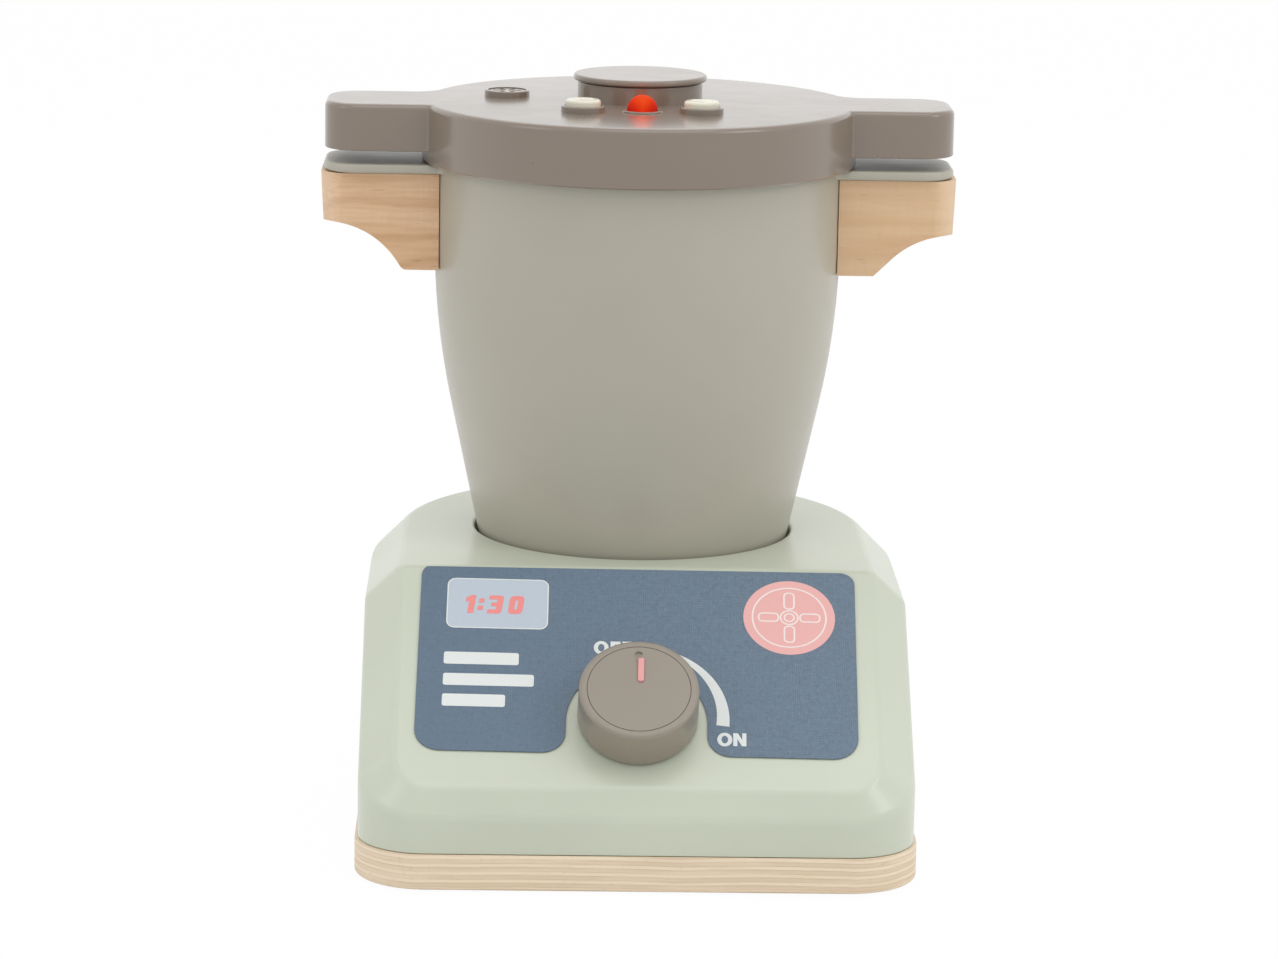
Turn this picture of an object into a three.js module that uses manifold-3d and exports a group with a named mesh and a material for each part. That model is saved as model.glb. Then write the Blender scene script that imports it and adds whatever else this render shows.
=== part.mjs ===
// A toy blender: a plywood plate, a plastic base with a sloping panel, a pot with two wooden grips that
// stands in a well of the base, and a lid with two buttons, a light, a sound outlet and a measuring cap.
// Millimetres, +Z up, the front looks along -Y. The pieces are drawn about the pot's axis, and the whole
// is then moved so that the origin is in the middle of the floor below it.
import * as THREE from "three";
import { mergeVertices } from "three/addons/utils/BufferGeometryUtils.js";
import Module from "manifold-3d";

const wasm = await Module();
wasm.setup();

// Gaps and steps that all pieces share
const gap = 0.3;
const overrun = 1;
const weld = 0.001;
const fineSteps = 40;
const mediumSteps = 20;
const coarseSteps = 10;
const arcSteps = 4;
const roundSteps = 2;

// Base plate, its pads and screws
const plateThickness = 12;
const plateProud = 1;
const plateEase = 0.5;
const padThickness = 0.7;
const padRadius = 8;
const baseScrewSideInset = 20.5;
const baseScrewFrontInset = 26;
const baseScrewRearInset = 7;
const baseScrewRadius = 1.9;
const baseScrewHeadRadius = 3.6;
const baseScrewHeadHeight = 2.4;
const baseScrewBite = 12;
const baseScrewSink = 5;
const padOffset = 17;

// Housing of the base
const baseWidth = 185;
const panelDepth = 75.3;
const frontCorner = 23;
const housingWall = 2.5;
const edgeChamfer = 12;
const plateauLevel = 92.7;
const plateauLip = 12.5;
const frontLevel = 31.07;
const bossRadius = 5;
const wellDepth = 21.4;
const wellClearance = 1;
const wellFlange = 8;

// Control label on the panel: its arch and its lower edge are measured up from the panel's lower edge
const labelInset = 7;
const labelTop = 0.6;
const labelRise = 19.3;
const labelThickness = 0.3;
const labelTopCorner = 5;
const labelBottomCorner = 8.5;
const archRadius = 23.5;
const archRise = 32.3;
const archCorner = 8;

// Knob, measured from the panel's surface, and up from the panel's lower edge
const knobRise = 34.8;
const knobRadius = 20.1;
const knobHeight = 16;
const knobLift = 1;
const knobEase = 2;
const knobWall = 2;
const knobHubRadius = 7;
const knobHubRecess = 1.2;
const knobRoof = 2.2;
const faceRadius = 17;
const faceThickness = 1.3;
const pryRadius = 1.3;
const pointerLength = 10.2;
const pointerWidth = 2.3;
const pointerReach = 13;
const pointerProud = 0.9;
const pointerInlay = 0.8;

// The knob's bearing and its click, behind the panel
const spindleRadius = 4;
const spindleIn = 14;
const spindleOut = 10.8;
const bushWall = 1.4;
const bushFlangeRadius = 8;
const bushFlangeThickness = 1.2;
const bushLength = 3.6;
const detentRadius = 12;
const detentThickness = 4;
const detentNotchRadius = 1.6;
const knobTurn = THREE.MathUtils.degToRad(105);
const clipRadius = 6.5;
const clipThickness = 1;
const clipGroove = 0.8;
const clipMouth = THREE.MathUtils.degToRad(60);
const springThickness = 0.6;
const springPostAcross = 20;
const springPostDown = 16;
const springPostRadius = 4;
const springEyeRadius = 2.6;
const springTail = 9;
const springScrewRadius = 1.3;
const springScrewHeadRadius = 2.9;
const springScrewHeadHeight = 1.8;
const springScrewBite = 5;

// Pot
const potRadius = 71;
const potTaper = THREE.MathUtils.degToRad(12.1);
const potBow = 270;
const potBowTop = 195;
const potWall = 2.5;
const potFloor = 3;
const potFootEase = 3;
const potRimLevel = 228.9;
const earLevel = 222.9;
const earThickness = 3.3;
const earSpan = 219;
const earDepth = 39.6;
const earCorner = 12;
const earFrontRoot = 3;
const earBackRoot = 9;
const earEase = 1.2;

// Wooden grips
const gripHeight = 33.5;
const gripDepth = 34;
const gripProud = 0.9;
const gripSlant = 1.8;
const gripCorner = 8;
const coveRadius = 30;
const coveInset = 0.5;
const leftCoveBelow = 13.3;
const rightCoveBelow = 15.5;
const gripScrewShares = [0.3, 0.66];
const gripScrewRadius = 1.5;
const gripScrewHeadRadius = 3;
const gripScrewHeadHeight = 1.6;
const gripScrewBite = 12;

// Mixing blade
const axleRadius = 3;
const axleHeadRadius = 5;
const axleHeadHeight = 2;
const axleSeat = 6;
const bladeBossRadius = 8;
const bladeBossHeight = 5;
const bladeHubRadius = 8.5;
const bladeHubHeight = 11;
const bladeReach = 40;
const bladeRootWidth = 11;
const bladeTipWidth = 7;
const bladeThickness = 2.2;
const bladePitch = THREE.MathUtils.degToRad(24);
const bladeCount = 4;

// Lid
const skirtClearance = 2.25;
const lidTopLevel = 243.7;
const lidCrown = 1;
const lidEase = 2;
const lidWall = 2.5;
const armInset = 0.3;
const armDepth = 39.8;
const armThickness = 16.3;
const armCorner = 12;
const armFrontRoot = 1;
const armBackRoot = 9;
const neckRadius = 21.7;
const neckWall = 2.2;
const neckHeight = 7.2;
const collarRadius = 7.5;
const collarHeight = 2.1;
const buttonAcross = 20.2;
const buttonForward = 36;
const ledForward = 35;
const ledSeatRadius = 7;
const ledSeatHeight = 1.3;
const outletAcross = 46.3;
const outletBack = 5;
const outletRadius = 7.85;
const outletHeight = 2.8;
const outletWall = 1.2;
const lidPostRadius = 3.7;
const lidPostInset = 9.1;
const boardPostRadius = 2.4;
const boardPostAcross = 9;

// Tray below the lid
const trayLevel = 214;
const trayWall = 2;
const plugClearance = 0.4;
const flangeClearance = 0.35;
const lidScrewRadius = 1.2;
const lidScrewHeadRadius = 2.8;
const lidScrewHeadHeight = 1.8;
const lidScrewBite = 10;

// Lid buttons, light, board and speaker
const buttonRadius = 6.1;
const buttonProud = 2.1;
const buttonDish = 0.3;
const buttonDishRadius = 3.9;
const buttonEase = 1.1;
const buttonFlange = 7.2;
const buttonFlangeThickness = 1;
const buttonStemRadius = 2;
const buttonTravel = 1.2;
const lensRadius = 5.2;
const lensWall = 1.6;
const lensFlange = 6.6;
const lensFlangeThickness = 1;
const ledRadius = 2.5;
const boardLevel = 231;
const boardThickness = 1.6;
const boardWidth = 56;
const boardDepth = 17;
const boardCorner = 1;
const switchSize = 6;
const switchHeight = 3.4;
const plungerRadius = 1.7;
const plungerHeight = 0.6;
const boardScrewRadius = 1;
const boardScrewHeadRadius = 2;
const boardScrewHeadHeight = 1.4;
const boardScrewBite = 4;
const speakerRadius = 14;
const speakerRim = 2;
const speakerDepth = 6;
const speakerMagnetRadius = 7.5;
const speakerRibHeight = 5;
const speakerRibWall = 1.4;
const grilleThickness = 1.6;
const petalCount = 6;
const petalLength = 3.4;
const petalWidth = 1.5;
const petalNear = 1.6;

// Batteries
const cellRadius = 5.25;
const cellLength = 44.5;
const cellNubRadius = 1.9;
const cellNubLength = 0.9;
const cellPitch = 11.6;
const boxBehindNeck = 5;
const contactThickness = 0.5;
const contactHeight = 8;
const boxWall = 1.4;
const boxHeight = 10;
const doorThickness = 2;
const doorTongue = 9;
const doorScrewRadius = 1.1;
const doorScrewHeadRadius = 2.2;
const doorScrewHeadHeight = 1.4;
const doorScrewBite = 6;

// Wires from the batteries and the speaker to the board
const leadRadius = 0.5;
const leadSides = 6;
const leadPitch = 3;
const leadSlack = 4;

// Measuring cap
const capRadius = 23.2;
const capThickness = 2.2;
const capEase = 1;
const capCupClearance = 0.4;
const capCupWall = 1.8;
const capCupDepth = 24;

// Levels and sizes that follow from those above
const plateBottom = padThickness + gap;
const plateTop = plateBottom + plateThickness;
const housingBottom = plateTop + gap;
const wellFloor = plateauLevel - wellDepth;
const potBottom = wellFloor + gap;
const potInside = potBottom + potFloor;
const bowStart = potBowTop - potBow * Math.sin(potTaper);
const bowStartRadius = potRadius - potBow * (1 - Math.cos(potTaper));
const wellMouth = potRadiusAt(plateauLevel) + wellClearance;
const plateauReach = wellMouth + plateauLip;
const baseReach = plateauReach + panelDepth;
const panelSlope = Math.atan((plateauLevel - frontLevel) / panelDepth);
const panelCos = Math.cos(panelSlope);
const panelSin = Math.sin(panelSlope);
const panelLength = panelDepth / panelCos;
const knobDrop = panelLength - knobRise;
const labelWidth = baseWidth - 2 * (edgeChamfer + labelInset);
const labelBottom = panelLength - labelRise;
const archDrop = panelLength - archRise;
const baseScrewAcross = baseWidth / 2 - baseScrewSideInset;
const baseScrewFront = baseReach - baseScrewFrontInset;
const baseScrewRear = Math.sqrt((baseWidth / 2 - baseScrewRearInset) ** 2 - baseScrewAcross ** 2);
const earBottom = earLevel - earThickness;
const gripTop = earBottom - gap;
const gripBottom = gripTop - gripHeight;
const gripReach = earSpan / 2 + gripProud;
const gripScrewLevels = gripScrewShares.map((share) => gripBottom + share * gripHeight);
const gripScrewSeat = Math.sqrt((potRadius - potWall) ** 2 - gripScrewHeadRadius ** 2) - gap;
const lidRadius = potRadius + skirtClearance + lidWall;
const armSpan = earSpan - 2 * armInset;
const lidBottom = earLevel + gap;
const lidCeiling = lidTopLevel - lidWall;
const armBottom = lidTopLevel - armThickness;
const neckBore = neckRadius - neckWall;
const neckTop = lidTopLevel + neckHeight;
const flangeBottom = potRimLevel + gap;
const trayFloorTop = trayLevel + trayWall;
const plugRadius = potRadius - potWall - plugClearance;
const lidPostSpread = (plugRadius - trayWall - lidPostInset) / Math.SQRT2;
const boardTop = boardLevel + boardThickness;
const capBottom = neckTop + gap;
const hubBore = spindleRadius + gap;
const detentFace = bushLength + housingWall + gap;

// Places on the panel are drawn in its own frame: Z is the knob's axis, pointing out, and Y runs up it.
const panelFrame = new THREE.Group();
panelFrame.position.set(0, -plateauReach - knobDrop * panelCos, plateauLevel - knobDrop * panelSin);
panelFrame.rotation.x = panelSlope;
panelFrame.updateMatrixWorld(true);

// Solids

// Turns a closed geometry into a solid, with its faces turned out.
function solid(geometry) {
  const bare = geometry.index ? geometry.toNonIndexed() : geometry.clone();
  bare.deleteAttribute("normal");
  bare.deleteAttribute("uv");
  const merged = mergeVertices(bare, weld);
  const corners = merged.index.array;
  const points = merged.attributes.position;
  const faces = [];
  const a = new THREE.Vector3();
  const b = new THREE.Vector3();
  const c = new THREE.Vector3();
  let volume = 0;
  for (let i = 0; i < corners.length; i += 3) {
    const face = [corners[i], corners[i + 1], corners[i + 2]];
    if (new Set(face).size < face.length) continue;
    faces.push(face);
    a.fromBufferAttribute(points, face[0]);
    b.fromBufferAttribute(points, face[1]);
    c.fromBufferAttribute(points, face[2]);
    volume += a.dot(b.cross(c));
  }
  if (volume < 0) faces.forEach((face) => face.reverse());
  return new wasm.Manifold(
    new wasm.Mesh({ numProp: 3, vertProperties: points.array, triVerts: new Uint32Array(faces.flat()) }),
  );
}

function join(first, ...others) {
  return others.reduce((sum, other) => sum.add(other), first);
}

function cut(first, ...others) {
  return others.reduce((rest, other) => rest.subtract(other), first);
}

// Gives a solid back as a geometry for a mesh.
function geometryOf(body) {
  const mesh = body.getMesh();
  const geometry = new THREE.BufferGeometry();
  geometry.setAttribute("position", new THREE.BufferAttribute(new Float32Array(mesh.vertProperties), 3));
  geometry.setIndex(new THREE.BufferAttribute(new Uint32Array(mesh.triVerts), 1));
  geometry.computeVertexNormals();
  return geometry;
}

// Turns a profile of radius and height round Z. It starts and ends on the axis, or closes on itself.
function turned(profile, steps = mediumSteps) {
  const points = profile.map(([radius, height]) => new THREE.Vector2(radius, height));
  return new THREE.LatheGeometry(points, steps).rotateX(Math.PI / 2);
}

function disc(radius, low, high, steps = mediumSteps) {
  return turned([[0, low], [radius, low], [radius, high], [0, high]], steps);
}

function hoop(outer, inner, low, high, steps = mediumSteps) {
  return turned([[inner, low], [outer, low], [outer, high], [inner, high], [inner, low]], steps);
}

// Points of an arc about a centre, from one direction to another.
function arc(x, y, radius, from, to, steps = arcSteps) {
  return Array.from({ length: steps + 1 }, (_, i) => {
    const angle = from + ((to - from) * i) / steps;
    return [x + radius * Math.cos(angle), y + radius * Math.sin(angle)];
  });
}

// Raises an outline from one level to another, with its edges rounded if asked.
function raised(outline, low, high, ease = 0) {
  const shape = new THREE.Shape(outline.map(([x, y]) => new THREE.Vector2(x, y)));
  const geometry = new THREE.ExtrudeGeometry(shape, {
    depth: high - low - 2 * ease,
    bevelEnabled: ease > 0,
    bevelThickness: ease,
    bevelSize: ease,
    bevelOffset: -ease,
    bevelSegments: roundSteps,
  });
  return geometry.translate(0, 0, low + ease);
}

// Rectangle with rounded corners, about a centre.
function roundedRectangle(width, depth, corner, x = 0, y = 0, steps = arcSteps) {
  const right = x + width / 2 - corner;
  const left = x - width / 2 + corner;
  const back = y + depth / 2 - corner;
  const front = y - depth / 2 + corner;
  return [
    ...arc(right, back, corner, 0, Math.PI / 2, steps),
    ...arc(left, back, corner, Math.PI / 2, Math.PI, steps),
    ...arc(left, front, corner, Math.PI, 1.5 * Math.PI, steps),
    ...arc(right, front, corner, 1.5 * Math.PI, 2 * Math.PI, steps),
  ];
}

function block(width, depth, low, high, x = 0, y = 0) {
  return new THREE.BoxGeometry(width, depth, high - low).translate(x, y, (low + high) / 2);
}

// A screw that points up: its shank from the seat, and its head below the seat.
function screwProfile(shankRadius, headRadius, headHeight, length) {
  return turned(
    [
      [0, -headHeight],
      [headRadius, -headHeight],
      [headRadius, 0],
      [shankRadius, 0],
      [shankRadius, length],
      [0, length],
    ],
    coarseSteps,
  );
}

// Materials
function plain(color, roughness, metalness = 0) {
  return new THREE.MeshStandardMaterial({ color, roughness, metalness });
}

const plywood = plain(0xdcc6a0, 0.7);
const beech = plain(0xd3a878, 0.6);
const mintPlastic = plain(0xc4d2ba, 0.45);
const stonePlastic = plain(0xaeab9c, 0.4);
const taupePlastic = plain(0x8c8378, 0.4);
const whitePlastic = plain(0xe9ebdc, 0.35);
const pinkPlastic = plain(0xe9a0a0, 0.5);
const printedFilm = plain(0x647a92, 0.6);
const redLens = plain(0xe0301c, 0.2);
const darkPlastic = plain(0x2c2d2f, 0.5);
const boardGreen = plain(0x2f6b45, 0.5);
const cellBlue = plain(0x3a5d8f, 0.35);
const rubber = plain(0x55575a, 0.9);
const redWire = plain(0xb5302a, 0.5);
const blackWire = plain(0x232426, 0.5);
const steel = plain(0xc3c5c8, 0.3, 0.9);

const toy = new THREE.Group();

// Adds a named piece to the toy, or to a frame inside it.
function add(name, body, material, frame = toy) {
  const mesh = new THREE.Mesh(body.isBufferGeometry ? body : geometryOf(body), material);
  mesh.name = name;
  frame.add(mesh);
  return mesh;
}

// Plan of the base, grown or shrunk by a distance: straight sides, round front corners, half-round back.
function baseOutline(growth) {
  const half = baseWidth / 2 + growth;
  const front = -baseReach - growth;
  const corner = frontCorner + growth;
  return [
    ...arc(0, 0, half, 0, Math.PI, mediumSteps),
    ...arc(corner - half, front + corner, corner, Math.PI, 1.5 * Math.PI),
    ...arc(half - corner, front + corner, corner, 1.5 * Math.PI, 2 * Math.PI),
  ];
}

const baseScrewPlaces = [
  [-baseScrewAcross, -baseScrewFront],
  [baseScrewAcross, -baseScrewFront],
  [baseScrewAcross, baseScrewRear],
  [-baseScrewAcross, baseScrewRear],
];

function basePlate() {
  const board = solid(raised(baseOutline(plateProud), plateBottom, plateTop, plateEase));
  const low = plateBottom - overrun;
  const holes = baseScrewPlaces.flatMap(([x, y]) => [
    disc(baseScrewRadius + gap, low, plateTop + overrun, coarseSteps).translate(x, y, 0),
    disc(baseScrewHeadRadius + gap, low, plateBottom + baseScrewSink, coarseSteps).translate(x, y, 0),
  ]);
  return cut(board, ...holes.map(solid));
}

function addBaseFastenings() {
  const seat = plateBottom + baseScrewSink + gap;
  const length = plateTop - seat + baseScrewBite;
  baseScrewPlaces.forEach(([x, y], i) => {
    const screw = screwProfile(baseScrewRadius, baseScrewHeadRadius, baseScrewHeadHeight, length);
    add(`base_screw_${i + 1}`, solid(screw.translate(x, y, seat - 2 * gap)), steel);
    const pad = disc(padRadius, 0, padThickness, coarseSteps);
    add(`foot_pad_${i + 1}`, solid(pad.translate(x - Math.sign(x) * padOffset, y, 0)), rubber);
  });
}

// Stations round a wall of the base seen from above, counter-clockwise from the right front corner. Each has
// its place and outward direction. Where the sides pass from the panel to the plateau, it is a crease.
function wallStations(half, front, corner, creaseY) {
  const stations = [];
  const turn = (x, y, radius, from, to, steps) => {
    for (let i = 0; i <= steps; i++) {
      const angle = from + ((to - from) * i) / steps;
      const nx = Math.cos(angle);
      const ny = Math.sin(angle);
      stations.push({ x: x + radius * nx, y: y + radius * ny, nx, ny, crease: false });
    }
  };
  turn(half - corner, front + corner, corner, -Math.PI / 2, 0, arcSteps);
  stations.push({ x: half, y: creaseY, nx: 1, ny: 0, crease: true });
  turn(0, 0, half, 0, Math.PI, mediumSteps);
  stations.push({ x: -half, y: creaseY, nx: -1, ny: 0, crease: true });
  turn(corner - half, front + corner, corner, Math.PI, 1.5 * Math.PI, arcSteps);
  return stations;
}

// The housing's outer form down to a level, or with an inset the hollow inside it. The chamfer is the flat
// band between the lines where a ball rolled along the inner corner of wall and top would touch them.
function housingForm(inset, bottom) {
  const half = baseWidth / 2 - inset;
  const front = inset - baseReach;
  const corner = frontCorner - inset;
  const top = plateauLevel - inset;
  const ease = edgeChamfer - inset * (2 - Math.SQRT2);
  const edgeY = inset * Math.tan(panelSlope / 2) - plateauReach;
  const creaseY = edgeY + ease * Math.tan(panelSlope / 2);
  const stations = wallStations(half, front, corner, creaseY);
  const low = [];
  const eave = [];
  const brow = [];
  for (const { x, y, nx, ny, crease } of stations) {
    const ballX = x - ease * nx;
    const ballY = y - ease * ny;
    const onPanel = !crease && ballY < creaseY;
    const ballZ = onPanel ? top - Math.tan(panelSlope) * (edgeY - ballY) - ease / panelCos : top - ease;
    low.push([x, y, bottom]);
    eave.push([x, y, ballZ]);
    if (crease) brow.push([ballX, edgeY, top]);
    else if (onPanel) brow.push([ballX, ballY - ease * panelSin, ballZ + ease * panelCos]);
    else brow.push([ballX, ballY, top]);
  }
  const count = stations.length;
  const points = [...low, ...eave, ...brow].flat();
  const faces = [];
  for (let i = 0; i < count; i++) {
    const next = (i + 1) % count;
    for (const ring of [0, count]) {
      faces.push(ring + i, ring + next, ring + count + next);
      faces.push(ring + i, ring + count + next, ring + count + i);
    }
  }
  for (let i = 1; i < count - 1; i++) faces.push(0, i + 1, i);
  const rightCrease = stations.findIndex((station) => station.crease);
  const leftCrease = stations.findLastIndex((station) => station.crease);
  const browAt = (i) => 2 * count + (i % count);
  const fan = (hub, end) => {
    for (let i = hub + 1; i < end; i++) faces.push(browAt(hub), browAt(i), browAt(i + 1));
  };
  fan(rightCrease, leftCrease);
  fan(leftCrease, count + rightCrease);
  const geometry = new THREE.BufferGeometry();
  geometry.setAttribute("position", new THREE.BufferAttribute(new Float32Array(points), 3));
  geometry.setIndex(faces);
  return solid(geometry);
}

// The pot's outer radius at a level: a cone below, a long bow above it, straight near the rim.
function potRadiusAt(level) {
  if (level < bowStart) return bowStartRadius - Math.tan(potTaper) * (bowStart - level);
  if (level > potBowTop) return potRadius;
  return potRadius - potBow + Math.sqrt(potBow ** 2 - (potBowTop - level) ** 2);
}

function onPanel(geometry) {
  return solid(geometry.applyMatrix4(panelFrame.matrix));
}

const wellFoot = potRadiusAt(wellFloor) + wellClearance;

// The room inside the well, which opens through the plateau.
function wellRoom() {
  const profile = [
    [0, wellFloor],
    [wellFoot, wellFloor],
    [wellMouth + Math.tan(potTaper) * overrun, plateauLevel + overrun],
    [0, plateauLevel + overrun],
  ];
  return solid(turned(profile, fineSteps));
}

// The cup that the pot stands in. Its flange is bonded to the underside of the plateau.
function baseWell() {
  const flangeTop = plateauLevel - housingWall - gap;
  const flangeUnder = flangeTop - housingWall;
  const profile = [
    [0, wellFloor - housingWall],
    [wellFoot + housingWall, wellFloor - housingWall],
    [potRadiusAt(flangeUnder) + wellClearance + housingWall, flangeUnder],
    [wellMouth + wellFlange, flangeUnder],
    [wellMouth + wellFlange, flangeTop],
    [0, flangeTop],
  ];
  return cut(solid(turned(profile, fineSteps)), wellRoom());
}

function baseHousing() {
  const outside = housingForm(0, housingBottom);
  const inside = housingForm(housingWall, housingBottom - overrun);
  const bosses = baseScrewPlaces.map(([x, y]) =>
    solid(disc(bossRadius, housingBottom, plateauLevel, coarseSteps).translate(x, y, 0)).intersect(outside),
  );
  const pilotTop = plateTop + baseScrewBite + overrun;
  const pilots = baseScrewPlaces.map(([x, y]) =>
    solid(disc(baseScrewRadius + gap, housingBottom - overrun, pilotTop, coarseSteps).translate(x, y, 0)),
  );
  const bushHole = onPanel(disc(spindleRadius + gap + bushWall + gap, -housingWall - overrun, overrun));
  const postTop = -detentFace + gap;
  const post = onPanel(
    disc(springPostRadius, postTop, -gap, coarseSteps).translate(springPostAcross, -springPostDown, 0),
  );
  const postHole = onPanel(
    disc(springScrewRadius + gap, postTop - overrun, postTop + springScrewBite, coarseSteps).translate(
      springPostAcross,
      -springPostDown,
      0,
    ),
  );
  const shell = join(cut(outside, inside), ...bosses, post);
  return cut(shell, wellRoom(), ...pilots, bushHole, postHole);
}

// Outline of the label in the panel's frame, with an arch round the knob cut into its lower edge.
function labelOutline() {
  const half = labelWidth / 2;
  const top = knobDrop - labelTop;
  const bottom = knobDrop - labelBottom;
  const archY = knobDrop - archDrop;
  const innerX = archRadius + archCorner;
  const outerX = half - labelBottomCorner;
  const outerY = bottom + labelBottomCorner;
  return [
    ...arc(half - labelTopCorner, top - labelTopCorner, labelTopCorner, 0, Math.PI / 2),
    ...arc(labelTopCorner - half, top - labelTopCorner, labelTopCorner, Math.PI / 2, Math.PI),
    ...arc(-outerX, outerY, labelBottomCorner, Math.PI, 1.5 * Math.PI),
    ...arc(-innerX, bottom + archCorner, archCorner, 1.5 * Math.PI, 2 * Math.PI),
    ...arc(0, archY, archRadius, Math.PI, 0, coarseSteps),
    ...arc(innerX, bottom + archCorner, archCorner, Math.PI, 1.5 * Math.PI),
    ...arc(outerX, outerY, labelBottomCorner, 1.5 * Math.PI, 2 * Math.PI),
  ];
}

function knobBody() {
  const inner = knobRadius - knobWall;
  const roofBottom = knobHeight - faceThickness - gap - knobRoof;
  const pocket = faceRadius + gap;
  const pocketFloor = knobHeight - faceThickness - gap;
  const hubFoot = bushFlangeThickness + 2 * gap + knobHubRecess;
  const profile = [
    [0, roofBottom],
    [hubBore, roofBottom],
    [hubBore, hubFoot],
    [knobHubRadius, hubFoot],
    [knobHubRadius, roofBottom],
    [inner, roofBottom],
    [inner, knobLift],
    [knobRadius, knobLift],
    ...arc(knobRadius - knobEase, knobHeight - knobEase, knobEase, 0, Math.PI / 2, roundSteps),
    [pocket, knobHeight],
    [pocket, pocketFloor],
    [0, pocketFloor],
  ];
  return solid(turned(profile, fineSteps));
}

function knobFace() {
  const low = knobHeight - faceThickness;
  const pry = disc(pryRadius, low - overrun, knobHeight + overrun, coarseSteps).translate(0, faceRadius, 0);
  const slotY = pointerReach - pointerLength / 2;
  const slotWidth = pointerWidth + 2 * gap;
  const slot = roundedRectangle(slotWidth, pointerLength + 2 * gap, pointerWidth / 2, 0, slotY, roundSteps);
  const slotCut = solid(raised(slot, knobHeight - pointerInlay, knobHeight + overrun));
  return cut(solid(disc(faceRadius, low, knobHeight, fineSteps)), solid(pry), slotCut);
}

function knobPointer() {
  const middle = pointerReach - pointerLength / 2;
  const bar = roundedRectangle(pointerWidth, pointerLength, pointerWidth / 2 - gap, 0, middle, roundSteps);
  return solid(raised(bar, knobHeight - pointerInlay + gap, knobHeight + pointerProud, gap));
}

function knobBush() {
  const barrel = hubBore + bushWall;
  return solid(
    turned([
      [hubBore, -housingWall - bushLength],
      [barrel, -housingWall - bushLength],
      [barrel, gap],
      [bushFlangeRadius, gap],
      [bushFlangeRadius, gap + bushFlangeThickness],
      [hubBore, gap + bushFlangeThickness],
      [hubBore, -housingWall - bushLength],
    ]),
  );
}

const clipTop = -detentFace - detentThickness - gap;
const clipBottom = clipTop - clipThickness;

function knobSpindle() {
  const neck = spindleRadius - clipGroove;
  return solid(
    turned([
      [0, -spindleIn],
      [spindleRadius, -spindleIn],
      [spindleRadius, clipBottom - gap],
      [neck, clipBottom - gap],
      [neck, clipTop + gap],
      [spindleRadius, clipTop + gap],
      [spindleRadius, spindleOut],
      [0, spindleOut],
    ]),
  );
}

// Wheel on the spindle with a notch for each end of the knob's turn, where the spring's nose rests.
function detentWheel() {
  const wheel = solid(hoop(detentRadius, hubBore, -detentFace - detentThickness, -detentFace));
  const notches = [0, knobTurn].map((angle) => {
    const low = -detentFace - detentThickness - overrun;
    const pin = disc(detentNotchRadius, low, overrun - detentFace, coarseSteps);
    return solid(pin.translate(detentRadius, 0, 0).rotateZ(angle));
  });
  return cut(wheel, ...notches);
}

function spindleClip() {
  const ring = hoop(clipRadius, spindleRadius - clipGroove + gap, clipBottom, clipTop);
  const mouth = [[0, 0], ...arc(0, 0, 2 * clipRadius, -clipMouth / 2, clipMouth / 2)];
  return cut(solid(ring), solid(raised(mouth, clipBottom - overrun, clipTop + overrun)));
}

// Leaf spring: an eye on its post, and a leaf whose nose rests beside the wheel's rim.
function detentSpring() {
  const low = -detentFace - detentThickness;
  const eye = hoop(springEyeRadius + springThickness, springScrewRadius + gap, low, -detentFace);
  eye.translate(springPostAcross, -springPostDown, 0);
  const noseX = detentRadius + gap;
  const run = [
    [springPostAcross - springEyeRadius, -springPostDown],
    [noseX + detentNotchRadius, -detentNotchRadius],
    [noseX, 0],
    [noseX + detentNotchRadius, detentNotchRadius],
    [noseX + detentNotchRadius, springTail],
  ];
  const leaf = [...run, ...run.map(([x, y]) => [x + springThickness, y]).reverse()];
  return join(solid(eye), solid(raised(leaf, low, -detentFace)));
}

function springScrew() {
  const seat = -detentFace - detentThickness - gap;
  const length = springScrewBite - gap + detentThickness + gap;
  const screw = screwProfile(springScrewRadius, springScrewHeadRadius, springScrewHeadHeight, length);
  return solid(screw.translate(springPostAcross, -springPostDown, seat));
}

// Where the fillet at an arm's root has its centre, beside a disc, and the direction of that place.
function rootPlace(radius, depth, root) {
  const y = depth / 2 + root;
  const x = Math.sqrt((radius + root) ** 2 - y ** 2);
  return { x, y, lean: Math.atan2(y, x) };
}

// Outline of the two arms beside a disc: their ends are rounded, and their roots meet its rim in fillets,
// small ones in front and larger ones behind.
function armsOutline(radius, span, depth, endCorner, frontRoot, backRoot) {
  const endX = span / 2 - endCorner;
  const endY = depth / 2 - endCorner;
  const back = rootPlace(radius, depth, backRoot);
  const front = rootPlace(radius, depth, frontRoot);
  return [
    ...arc(endX, endY, endCorner, 0, Math.PI / 2),
    ...arc(back.x, back.y, backRoot, 1.5 * Math.PI, Math.PI + back.lean),
    ...arc(-back.x, back.y, backRoot, 2 * Math.PI - back.lean, 1.5 * Math.PI),
    ...arc(-endX, endY, endCorner, Math.PI / 2, Math.PI),
    ...arc(-endX, -endY, endCorner, Math.PI, 1.5 * Math.PI),
    ...arc(-front.x, -front.y, frontRoot, Math.PI / 2, front.lean),
    ...arc(front.x, -front.y, frontRoot, Math.PI - front.lean, Math.PI / 2),
    ...arc(endX, -endY, endCorner, 1.5 * Math.PI, 2 * Math.PI),
  ];
}

const gripScrewPlaces = [-1, 1].flatMap((side) => gripScrewLevels.map((level) => [side, level]));

// Lays a turned piece along X at a level, running out from the pot's axis on the side that the sign gives.
function outward(geometry, side, level) {
  return solid(geometry.rotateY((side * Math.PI) / 2).translate(0, 0, level));
}

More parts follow.
